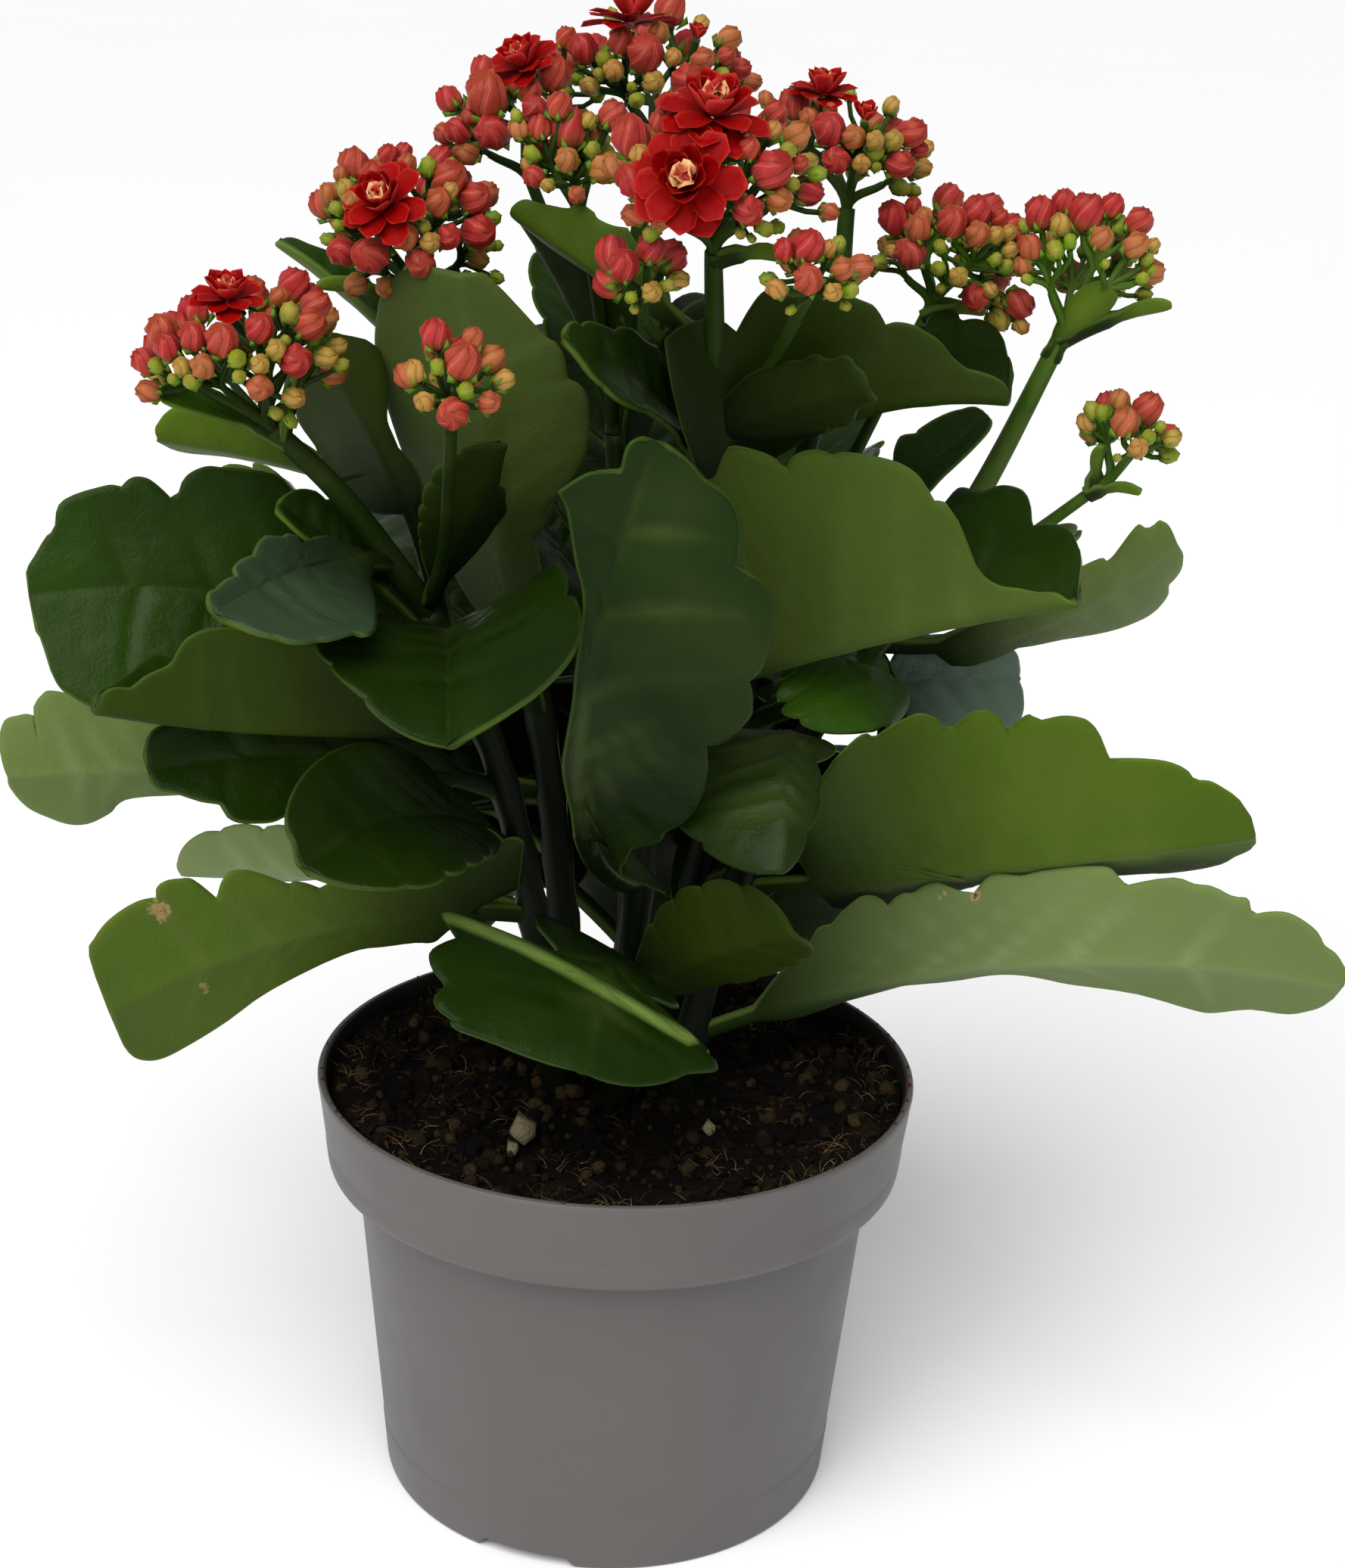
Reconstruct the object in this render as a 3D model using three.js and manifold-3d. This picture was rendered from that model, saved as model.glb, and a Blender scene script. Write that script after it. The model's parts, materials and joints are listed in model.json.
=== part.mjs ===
// Potted flaming katy, Kalanchoe blossfeldiana, in a grey nursery pot.
// Millimetres, +Z up, +X to the plant's right, -Y towards the viewer.
// The origin is the centre of the pot's flat foot, where the plant stands.

import * as THREE from 'three';
import { mergeVertices } from 'three/addons/utils/BufferGeometryUtils.js';
import Module from 'manifold-3d';

const wasm = await Module();
wasm.setup();

// Pot

const POT_HEIGHT = 88;
const RIM_RADIUS = 60;
const RIM_THICKNESS = 1.6;
const COLLAR_BOTTOM = 70;
const COLLAR_RADIUS = 58;
const SHOULDER_RADIUS = 52.4;
const FOOT_RADIUS = 46;
const WALL = 1.3;
const PAD_RADIUS = 14;
const RING_RADIUS = 39;
const FLOOR_LIFT = 2.4;
const DRAIN_HOLES = 6;
const DRAIN_RADIUS = 3;
const DRAIN_CIRCLE = 27;
const NOTCHES = 3;
const NOTCH_WIDTH = 20;
const NOTCH_SLOPE = 1.5;
const NOTCH_AZIMUTH = -109.5;
const POT_SIDES = 36;

// Soil

const SOIL_EDGE = 84.6;
const SOIL_CROWN = 86.5;
const ROOT_DEPTH = 70;

// Clearances between neighbours

const GAP = 0.3;
const LEAF_GAP = 0.4;

// Shoots: each has one stem, and flower clusters on stalks that part at the stem's top.
// A path lists the points that it follows, from the root up.
// SEAT is how far under a cluster's centre its stalk ends, as a share of the cluster's radius.

const STEM_SIDES = 7;
const HEAD_SIDES = 10;
const STEM_FOOT_RADIUS = 3.6;
const STEM_TOP_RADIUS = 1.9;
const STEM_TOP_HEIGHT = 260;
const STALK_RADIUS = 1.4;
const SEAT = 0.45;

const SHOOTS = {
  left: {
    stem: [[-10, -6, ROOT_DEPTH], [-15, -8, 112], [-24, -12, 155], [-37, -20, 188]],
    clusters: [
      { path: [[-51, -28, 210], [-63, -34, 224]], centre: [-68, -35, 237], radius: 19 },
      { path: [[-33, -34, 205], [-31, -50, 228]], centre: [-30, -55, 237], radius: 9.5 },
    ],
  },
  mid_left: {
    stem: [[-8, 6, ROOT_DEPTH], [-12, 8, 120], [-18, 6, 165], [-28, 2, 205]],
    clusters: [
      { path: [[-40, -7, 243]], centre: [-42, -10, 257], radius: 18 },
    ],
  },
  back: {
    stem: [[2, 10, ROOT_DEPTH], [2, 14, 120], [0, 14, 170], [-4, 12, 215]],
    clusters: [
      { path: [[-2, 14, 240], [1, 18, 268]], centre: [1, 20, 281], radius: 20 },
      { path: [[-12, 10, 240], [-21, 11, 262]], centre: [-22, 11, 273], radius: 18 },
      { path: [[-8, 0, 243], [-11, -13, 259]], centre: [-12, -16, 268], radius: 9.5 },
    ],
  },
  centre: {
    stem: [[0, -8, ROOT_DEPTH], [2, -12, 115], [6, -14, 165], [12, -18, 210]],
    clusters: [
      { path: [[13, -28, 238], [12, -40, 258]], centre: [11, -43, 271], radius: 19 },
      { path: [[7, -24, 234], [1, -40, 246]], centre: [0, -45, 254], radius: 8 },
      { path: [[20, -26, 230], [26, -49, 249]], centre: [28, -54, 257], radius: 9.5 },
    ],
  },
  right: {
    stem: [[10, 4, ROOT_DEPTH], [14, 6, 120], [22, 6, 165]],
    clusters: [
      { path: [[31, 3, 210], [36, 2, 240], [37, 3, 260]], centre: [37, 5, 271], radius: 16 },
      { path: [[33, 3, 195], [44, 1, 222], [53, 0, 243]], centre: [57, 1, 254], radius: 15 },
    ],
  },
  far_right: {
    stem: [[11, -6, ROOT_DEPTH], [18, -6, 115], [34, -5, 160], [52, -5, 188]],
    clusters: [
      { path: [[64, -6, 210], [76, -10, 240]], centre: [79, -10, 252], radius: 14.5 },
      { path: [[70, -8, 200], [86, -14, 215]], centre: [89, -15, 223], radius: 9.5 },
    ],
  },
};

// Leaves
// on: the shoot, the height of the joint on it and, where it isn't the first, the cluster's stalk
// via: the point that the stalk leans towards, where it isn't straight
// tip: where the blade ends
// width: half widths to the left and right of the midrib, seen along it from the stem
// bow: how far the midrib arches above its chord
// roll, twist: turn of the blade about the midrib in degrees, and how much it changes towards the tip
// fold, curl: how steeply each half rises from the midrib, and how much more at its edge, in degrees
// open: share of the fold that is gone at the tip
// stalk: bare share of the length
// full, blunt: smaller numbers widen the blade sooner after the stalk, and end it more bluntly
// ear: how far each half hangs back behind the top of the stalk
// FOLD_START, FOLD_END: how fast the fold comes on past the stalk, and goes off again at the tip

const LEAF_DEFAULTS = {
  bow: 6,
  roll: 0,
  twist: 0,
  fold: [15, 15],
  curl: [10, 10],
  open: 0,
  stalk: 0.2,
  full: [0.8, 0.8],
  blunt: [0.45, 0.45],
  ear: [0, 0],
};
const STALK_HALF_WIDTH = 2;
const STALK_HALF_THICKNESS = 1.5;
const BLADE_HALF_THICKNESS = 0.8;
const TIP_HALF_WIDTH = 0.4;
const KEEL_LIMIT = 0.5;
const FOLD_START = 4;
const FOLD_END = 9;
const SMALL_LEAF_WIDTH = 12;
const LEAF_GRID = { rows: 9, across: 4 };
const SMALL_LEAF_GRID = { rows: 6, across: 2 };

const LEAVES = {
  front_big: {
    on: ['centre', 132], via: [-26, -60, 152], tip: [3, -60, 230], width: [15, 32],
    bow: 2, roll: -166, twist: -14, fold: [6, 6], stalk: 0.26, full: [1.3, 0.36],
    blunt: [0.3, 0.55], ear: [2, 26],
  },
  front_low: {
    on: ['centre', 112], tip: [-6, -62, 116], width: [29, 30],
    bow: 11, roll: -28, fold: [-8, -8], curl: [0, 0], stalk: 0.12, full: [0.5, 0.5],
    blunt: [0.4, 0.4],
  },
  left_low: {
    on: ['left', 124], tip: [-92, -50, 120], width: [22, 24],
    bow: 7, roll: 62, twist: 22, fold: [10, 10], curl: [0, 0], stalk: 0.16, full: [0.7, 0.7],
    blunt: [0.22, 0.22],
  },
  right_low: {
    on: ['far_right', 98], tip: [140, -18, 118], width: [22, 21],
    bow: 10, roll: -60, twist: 10, fold: [40, 40], curl: [0, 0], open: 0.9, stalk: 0.1,
    full: [0.6, 0.6], blunt: [0.33, 0.33],
  },
  right_mid: {
    on: ['far_right', 130], tip: [116, -24, 147], width: [27, 33],
    bow: 0, roll: -44, twist: 8, fold: [20, 20], curl: [5, 5], stalk: 0.14, full: [0.36, 0.36],
    blunt: [0.36, 0.36], ear: [2, 6],
  },
  right_centre_big: {
    on: ['centre', 170], tip: [77, -46, 201], width: [27, 47],
    bow: -6, roll: -8, twist: -10, fold: [50, 72], curl: [0, 0], stalk: 0.08, full: [1.4, 0.3],
    blunt: [0.2, 0.85], ear: [0, 8],
  },
  left_tall: {
    on: ['mid_left', 158], tip: [-31, -28, 251], width: [20, 24],
    bow: -2, roll: 6, fold: [8, 8], stalk: 0.18, full: [0.75, 0.75], blunt: [0.28, 0.28],
  },
  left_upper_round: {
    on: ['left', 170], tip: [-106, -36, 193], width: [25, 20],
    bow: 9, roll: -66, fold: [12, 12], stalk: 0.14, full: [0.5, 0.5], blunt: [0.28, 0.28],
    ear: [8, 2],
  },
  left_mid_folded: {
    on: ['left', 164], tip: [-91, -56, 179], width: [19, 18],
    bow: -2, roll: 14, fold: [68, 58], curl: [0, 0], stalk: 0.1, full: [0.5, 0.5],
    blunt: [0.25, 0.25],
  },
  left_cup: {
    on: ['left', 182], tip: [-30, -70, 179], width: [22, 24],
    bow: 8, roll: -12, fold: [40, 50], curl: [10, 10], stalk: 0.06, full: [0.4, 0.4],
    blunt: [0.5, 0.5],
  },
  left_small_front: {
    on: ['left', 198], tip: [-69, -64, 199], width: [11, 12],
    bow: 3, roll: -40, stalk: 0.15, full: [0.6, 0.6], blunt: [0.3, 0.3],
  },
  left_lower: {
    on: ['left', 150], tip: [-85, -42, 163], width: [20, 20],
    bow: 5, roll: -58, fold: [5, 5], stalk: 0.15, blunt: [0.35, 0.35],
  },
  left_lower_small: {
    on: ['left', 136], tip: [-56, -56, 151], width: [18, 18],
    bow: 9, roll: -34, fold: [5, 5], stalk: 0.12,
  },
  centre_right_small: {
    on: ['right', 172], tip: [46, -22, 169], width: [13, 13],
    bow: 9, roll: 0, fold: [-5, -5], curl: [-12, -12], stalk: 0.4,
  },
  centre_right_dark: {
    on: ['far_right', 154], tip: [29, -54, 152], width: [14, 14],
    bow: 15, roll: -4, fold: [-10, -10], curl: [-12, -12], stalk: 0.42, full: [0.4, 0.4],
    blunt: [0.45, 0.45], ear: [3, 3],
  },
  centre_low_small: {
    on: ['centre', 106], tip: [32, -38, 134], width: [14, 14],
    bow: 3, roll: -55, fold: [10, 10], stalk: 0.1,
  },
  right_pale: {
    on: ['right', 182], tip: [107, 22, 195], width: [18, 15],
    bow: -7, roll: -44, fold: [10, 10], stalk: 0.4, full: [0.6, 0.6], blunt: [0.2, 0.2],
  },
  right_back_big: {
    on: ['centre', 208], tip: [65, -28, 232], width: [24, 24],
    bow: 7, roll: -24, fold: [45, 35], stalk: 0.08, full: [0.4, 0.4], blunt: [0.3, 0.3],
  },
  right_small_dark: {
    on: ['centre', 222], tip: [39, -50, 237], width: [10, 11],
    bow: 2, roll: -52, stalk: 0.08,
  },
  upper_centre: {
    on: ['centre', 216], tip: [-13, -36, 242], width: [11, 11],
    bow: 4, roll: -50, stalk: 0.08,
  },
  top_bright: {
    on: ['centre', 240], tip: [-23, -14, 260], width: [7, 7],
    bow: 0, roll: 56, stalk: 0.15,
  },
  right_blue: {
    on: ['right', 158], tip: [79, 26, 164], width: [16, 15],
    bow: 4, roll: 55, stalk: 0.3,
  },
  far_left_pale: {
    on: ['mid_left', 144], tip: [-121, 4, 145], width: [19, 18],
    bow: 3, roll: 68, fold: [5, 5], stalk: 0.5, full: [0.6, 0.6], blunt: [0.2, 0.2],
  },
  left_behind_pale: {
    on: ['mid_left', 116], tip: [-92, 28, 116], width: [11, 11],
    bow: 4, roll: 55, stalk: 0.3,
  },
  left_nub: {
    on: ['left', 180], tip: [-63, -30, 209], width: [7, 7],
    bow: 2, roll: -40, stalk: 0.4,
  },
  left_back_dark: {
    on: ['left', 178], tip: [-51, -14, 236], width: [13, 12],
    bow: 4, roll: 4, fold: [20, 20], stalk: 0.3, full: [0.5, 0.5], blunt: [0.3, 0.3],
  },
  back_left_oval: {
    on: ['mid_left', 196], tip: [-90, 6, 213], width: [8, 10],
    bow: 3, roll: 50, stalk: 0.45, blunt: [0.3, 0.3],
  },
  back_left_high: {
    on: ['mid_left', 222], tip: [-67, 6, 250], width: [7, 7],
    bow: 2, roll: 0, stalk: 0.1,
  },
  dark_narrow: {
    on: ['left', 190, 1], tip: [-23, -40, 224], width: [9, 9],
    bow: 1, roll: 0, stalk: 0.1,
  },
  centre_back_dark: {
    on: ['back', 218], tip: [-22, 4, 256], width: [14, 13],
    bow: 2, roll: 0, stalk: 0.1,
  },
  centre_back_low: {
    on: ['back', 200], tip: [13, 12, 241], width: [14, 14],
    bow: 2, roll: 0, stalk: 0.1,
  },
  right_back_small: {
    on: ['right', 190, 1], tip: [68, 20, 219], width: [10, 10],
    bow: 0, roll: 40, stalk: 0.3,
  },
  right_under_pale: {
    on: ['right', 122], tip: [73, 26, 121], width: [10, 10],
    bow: 6, roll: 30, stalk: 0.3,
  },
  right_under_dark: {
    on: ['right', 126], tip: [67, -10, 135], width: [11, 9],
    bow: 6, roll: 10, fold: [10, 10], stalk: 0.15,
  },
  back_low_left: {
    on: ['back', 108], tip: [-80, 84, 104], width: [25, 25],
    bow: 14, roll: 12, fold: [10, 10], stalk: 0.16, full: [0.55, 0.55], blunt: [0.33, 0.33],
  },
  back_low_right: {
    on: ['back', 102], tip: [82, 82, 108], width: [26, 26],
    bow: 13, roll: -10, fold: [10, 10], stalk: 0.16, full: [0.55, 0.55], blunt: [0.33, 0.33],
  },
  back_mid: {
    on: ['back', 138], tip: [4, 112, 132], width: [28, 27],
    bow: 13, roll: 4, fold: [12, 12], stalk: 0.16, full: [0.55, 0.55], blunt: [0.33, 0.33],
  },
  back_mid_left: {
    on: ['mid_left', 160], tip: [-76, 74, 172], width: [26, 26],
    bow: 9, roll: 14, fold: [14, 14], stalk: 0.16, full: [0.55, 0.55], blunt: [0.33, 0.33],
  },
  back_mid_right: {
    on: ['right', 152], tip: [84, 74, 166], width: [26, 26],
    bow: 10, roll: -14, fold: [14, 14], stalk: 0.16, full: [0.55, 0.55], blunt: [0.33, 0.33],
  },
  back_high: {
    on: ['back', 178], tip: [-4, 82, 220], width: [25, 25],
    bow: 7, roll: -6, fold: [14, 14], stalk: 0.14, full: [0.6, 0.6], blunt: [0.33, 0.33],
  },
  back_side_right: {
    on: ['right', 118], tip: [102, 40, 126], width: [21, 21],
    bow: 9, roll: -6, fold: [14, 14], stalk: 0.18, full: [0.55, 0.55], blunt: [0.33, 0.33],
  },
  back_side_left: {
    on: ['mid_left', 130], tip: [-82, 54, 138], width: [21, 21],
    bow: 8, roll: 8, fold: [12, 12], stalk: 0.18, full: [0.55, 0.55], blunt: [0.33, 0.33],
  },
  back_upper_left: {
    on: ['back', 166], tip: [-38, 86, 192], width: [23, 23],
    bow: 8, roll: 6, fold: [14, 14], stalk: 0.16, full: [0.6, 0.6], blunt: [0.33, 0.33],
  },
  back_upper_right: {
    on: ['back', 160], tip: [44, 84, 194], width: [23, 23],
    bow: 8, roll: -6, fold: [14, 14], stalk: 0.16, full: [0.6, 0.6], blunt: [0.33, 0.33],
  },
  back_top: {
    on: ['back', 204], tip: [-12, 56, 244], width: [15, 15],
    bow: 4, roll: 0, fold: [14, 14], stalk: 0.14, full: [0.6, 0.6], blunt: [0.33, 0.33],
  },
  back_top_right: {
    on: ['right', 194], tip: [42, 54, 224], width: [16, 16],
    bow: 4, roll: 0, fold: [14, 14], stalk: 0.16, full: [0.6, 0.6], blunt: [0.33, 0.33],
  },
};

const UP = new THREE.Vector3(0, 0, 1);

const material = (color, roughness) => new THREE.MeshStandardMaterial({ color, roughness, metalness: 0 });
const POT_GREY = material('#85868a', 0.55);
const PEAT = material('#241a12', 0.95);
const STEM_GREEN = material('#4d6a2c', 0.5);
const LEAF_GREEN = material('#2f4a1c', 0.42);
const FLOWER_RED = material('#b8242c', 0.55);

// Solids and meshes

function toSolid(geometry) {
  const bare = geometry.clone();
  bare.deleteAttribute('normal');
  bare.deleteAttribute('uv');
  const merged = mergeVertices(bare, 1e-4);
  const vertProperties = new Float32Array(merged.attributes.position.array);
  const corners = Array.from(merged.index.array);
  const kept = [];
  for (let i = 0; i < corners.length; i += 3) {
    const [a, b, c] = corners.slice(i, i + 3);
    if (a !== b && b !== c && c !== a) kept.push(a, b, c);
  }
  return new wasm.Manifold(new wasm.Mesh({ numProp: 3, vertProperties, triVerts: new Uint32Array(kept) }));
}

function toGeometry(solid) {
  const { vertProperties, triVerts } = solid.getMesh();
  const geometry = new THREE.BufferGeometry();
  geometry.setAttribute('position', new THREE.BufferAttribute(new Float32Array(vertProperties), 3));
  geometry.setIndex(new THREE.BufferAttribute(new Uint32Array(triVerts), 1));
  geometry.computeVertexNormals();
  return geometry;
}

// Closes a run of rings, each with the same number of points, into one skin with flat ends.
function skin(rings) {
  const count = rings[0].length;
  const positions = rings.flat().flatMap((p) => [p.x, p.y, p.z]);
  const index = [];
  for (let i = 0; i < rings.length - 1; i++) {
    for (let j = 0; j < count; j++) {
      const a = i * count + j;
      const b = i * count + ((j + 1) % count);
      index.push(a, b, b + count, a, b + count, a + count);
    }
  }
  const last = (rings.length - 1) * count;
  for (let j = 1; j < count - 1; j++) {
    index.push(0, j + 1, j);
    index.push(last, last + j, last + j + 1);
  }
  const geometry = new THREE.BufferGeometry();
  geometry.setAttribute('position', new THREE.BufferAttribute(new Float32Array(positions), 3));
  geometry.setIndex(index);
  return geometry;
}

// A turned solid: (radius, height) points revolved about Z.
function turned(profile, sides) {
  const geometry = new THREE.LatheGeometry(profile.map(([r, z]) => new THREE.Vector2(r, z)), sides);
  return geometry.rotateX(Math.PI / 2);
}

// Cuts the neighbours away and keeps the main piece.
function carve(solid, neighbours) {
  let rest = solid;
  for (const other of neighbours) rest = rest.subtract(other);
  const pieces = rest.decompose();
  return pieces.reduce((largest, piece) => (piece.volume() > largest.volume() ? piece : largest));
}

// Pot: a thin shell with a collar, a flat foot, raised floor, drain holes and side notches

const wallRadiusAt = (z) => THREE.MathUtils.mapLinear(z, 0, COLLAR_BOTTOM, FOOT_RADIUS, SHOULDER_RADIUS);

function potShell() {
  const step = COLLAR_BOTTOM - WALL;
  return toSolid(turned([
    [0, 0],
    [PAD_RADIUS, 0],
    [PAD_RADIUS + FLOOR_LIFT, FLOOR_LIFT],
    [RING_RADIUS, FLOOR_LIFT],
    [RING_RADIUS + FLOOR_LIFT, 0],
    [FOOT_RADIUS - 1, 0],
    [wallRadiusAt(1), 1],
    [wallRadiusAt(step), step],
    [COLLAR_RADIUS - 1, step + 0.6],
    [COLLAR_RADIUS, COLLAR_BOTTOM],
    [RIM_RADIUS, POT_HEIGHT - 0.6],
    [RIM_RADIUS - 0.5, POT_HEIGHT],
    [RIM_RADIUS - RIM_THICKNESS, POT_HEIGHT],
    [COLLAR_RADIUS - WALL, COLLAR_BOTTOM + WALL],
    [wallRadiusAt(COLLAR_BOTTOM) - WALL, COLLAR_BOTTOM],
    [wallRadiusAt(FLOOR_LIFT + WALL) - WALL, FLOOR_LIFT + WALL],
    [PAD_RADIUS + FLOOR_LIFT - WALL, FLOOR_LIFT + WALL],
    [PAD_RADIUS - WALL, WALL],
    [0, WALL],
  ], POT_SIDES));
}

function drainHole(i) {
  const angle = ((i + 0.5) / DRAIN_HOLES) * Math.PI * 2;
  const hole = new THREE.CylinderGeometry(DRAIN_RADIUS, DRAIN_RADIUS, 4 * FLOOR_LIFT, 10);
  hole.rotateX(Math.PI / 2);
  hole.translate(DRAIN_CIRCLE * Math.cos(angle), DRAIN_CIRCLE * Math.sin(angle), FLOOR_LIFT);
  return toSolid(hole);
}

function drainNotch(i) {
  const half = NOTCH_WIDTH / 2;
  const outline = new THREE.Shape();
  outline.moveTo(-half - NOTCH_SLOPE, -1);
  outline.lineTo(half + NOTCH_SLOPE, -1);
  outline.lineTo(half - NOTCH_SLOPE, FLOOR_LIFT);
  outline.lineTo(-half + NOTCH_SLOPE, FLOOR_LIFT);
  outline.closePath();
  const reach = FOOT_RADIUS - RING_RADIUS + 4;
  const prism = new THREE.ExtrudeGeometry(outline, { depth: reach, bevelEnabled: false });
  prism.rotateX(Math.PI / 2).rotateZ(Math.PI).translate(0, RING_RADIUS - 1, 0).rotateZ(-Math.PI / 2);
  const angle = THREE.MathUtils.degToRad(NOTCH_AZIMUTH) + (i / NOTCHES) * Math.PI * 2;
  return toSolid(prism.rotateZ(angle));
}

function buildPot() {
  let pot = potShell();
  for (let i = 0; i < DRAIN_HOLES; i++) pot = pot.subtract(drainHole(i));
  for (let i = 0; i < NOTCHES; i++) pot = pot.subtract(drainNotch(i));
  return pot;
}

// Soil: fills the pot to just under the rim, with a slight crown

function buildSoil() {
  const inside = WALL + GAP;
  const floor = FLOOR_LIFT + inside;
  const collar = COLLAR_BOTTOM + inside;
  const edgeShare = (SOIL_EDGE - COLLAR_BOTTOM) / (POT_HEIGHT - COLLAR_BOTTOM);
  const edgeRadius = THREE.MathUtils.lerp(COLLAR_RADIUS, RIM_RADIUS - RIM_THICKNESS, edgeShare) - 2 * GAP;
  return toSolid(turned([
    [0, inside],
    [PAD_RADIUS - inside, inside],
    [PAD_RADIUS + FLOOR_LIFT - inside, floor],
    [wallRadiusAt(floor) - inside, floor],
    [wallRadiusAt(COLLAR_BOTTOM) - inside, collar],
    [COLLAR_RADIUS - inside, collar],
    [edgeRadius, SOIL_EDGE],
    [RIM_RADIUS / 2, SOIL_CROWN - 0.5],
    [0, SOIL_CROWN],
  ], POT_SIDES));
}

// Stems and stalks: tapering tubes. Their ends reach on by the same amount as their sides grow.

const toVectors = (points) => points.map((p) => new THREE.Vector3(...p));

function tube(points, radiusAt, grow) {
  const rings = points.map((point, i) => {
    const before = points[Math.max(i - 1, 0)];
    const after = points[Math.min(i + 1, points.length - 1)];
    const along = after.clone().sub(before).normalize();
    const end = (after === point ? grow : 0) - (before === point ? grow : 0);
    const right = new THREE.Vector3(1, 0, 0).addScaledVector(along, -along.x).normalize();
    const back = along.clone().cross(right);
    const radius = radiusAt(point.z) + grow;
    return Array.from({ length: STEM_SIDES }, (_, j) => {
      const angle = (j / STEM_SIDES) * Math.PI * 2;
      return point.clone()
        .addScaledVector(along, end)
        .addScaledVector(right, radius * Math.cos(angle))
        .addScaledVector(back, radius * Math.sin(angle));
    });
  });
  return toSolid(skin(rings));
}

const stemRadius = (z) => (
  THREE.MathUtils.mapLinear(z, ROOT_DEPTH, STEM_TOP_HEIGHT, STEM_FOOT_RADIUS, STEM_TOP_RADIUS)
);

const buildStem = (name, grow = 0) => tube(toVectors(SHOOTS[name].stem), stemRadius, grow);

function pointOnShoot(name, height, stalk = 0) {
  const { stem, clusters } = SHOOTS[name];
  const points = toVectors([...stem, ...clusters[stalk].path]);
  const next = Math.max(1, points.findIndex((p) => p.z >= height));
  const [low, high] = [points[next - 1], points[next]];
  return low.clone().lerp(high, (height - low.z) / (high.z - low.z));
}

// Flowers: the stalks that part at a stem's top, each with a domed cluster that leans as it does

function clusterLean({ path, centre }) {
  const along = new THREE.Vector3(...centre).sub(new THREE.Vector3(...path.at(-1))).normalize();
  return along.lerp(UP, 0.5).normalize();
}

function clusterDome(cluster, grow) {
  const r = cluster.radius + grow;
  const dome = turned([
    [0, -0.75 * r],
    [0.3 * r, -0.6 * r],
    [0.85 * r, -0.2 * r],
    [r, 0.1 * r],
    [0.85 * r, 0.45 * r],
    [0.45 * r, 0.7 * r],
    [0, 0.78 * r],
  ], HEAD_SIDES);
  dome.applyQuaternion(new THREE.Quaternion().setFromUnitVectors(UP, clusterLean(cluster)));
  return toSolid(dome.translate(...cluster.centre));
}

function buildFlowers(name, grow = 0) {
  const { stem, clusters } = SHOOTS[name];
  const pieces = clusters.flatMap((cluster, i) => {
    const seat = new THREE.Vector3(...cluster.centre)
      .addScaledVector(clusterLean(cluster), -SEAT * cluster.radius);
    const points = [...toVectors([stem.at(-1), ...cluster.path]), seat];
    return [tube(points, i === 0 ? stemRadius : () => STALK_RADIUS, grow), clusterDome(cluster, grow)];
  });
  return pieces.reduce((whole, piece) => whole.add(piece));
}

// Leaves: a bare stalk that opens into a blade, both halves folded up from a bowed midrib.
// The blade ends in a sharp edge, where the upper and the lower skin share their points.

function midribOf(leaf) {
  const base = pointOnShoot(...leaf.on);
  const tip = new THREE.Vector3(...leaf.tip);
  const chord = tip.clone().sub(base);
  const side = chord.clone().cross(UP).normalize();
  const lift = side.clone().cross(chord).normalize().multiplyScalar(2 * leaf.bow);
  let near = base.clone().addScaledVector(chord, 1 / 3).addScaledVector(lift, 2 / 3);
  let far = tip.clone().addScaledVector(chord, -1 / 3).addScaledVector(lift, 2 / 3);
  if (leaf.via) {
    near = new THREE.Vector3(...leaf.via);
    far = near.clone().lerp(tip, 0.67).addScaledVector(lift, 2 / 3);
  }
  return { side, curve: new THREE.CubicBezierCurve3(base, near, far, tip) };
}

// Share of the full half width at v, from 0 where the blade starts to 1 at the tip.
function outline(v, full, blunt) {
  const peak = full / (full + blunt);
  return (v ** full * (1 - v) ** blunt) / (peak ** full * (1 - peak) ** blunt);
}

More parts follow.
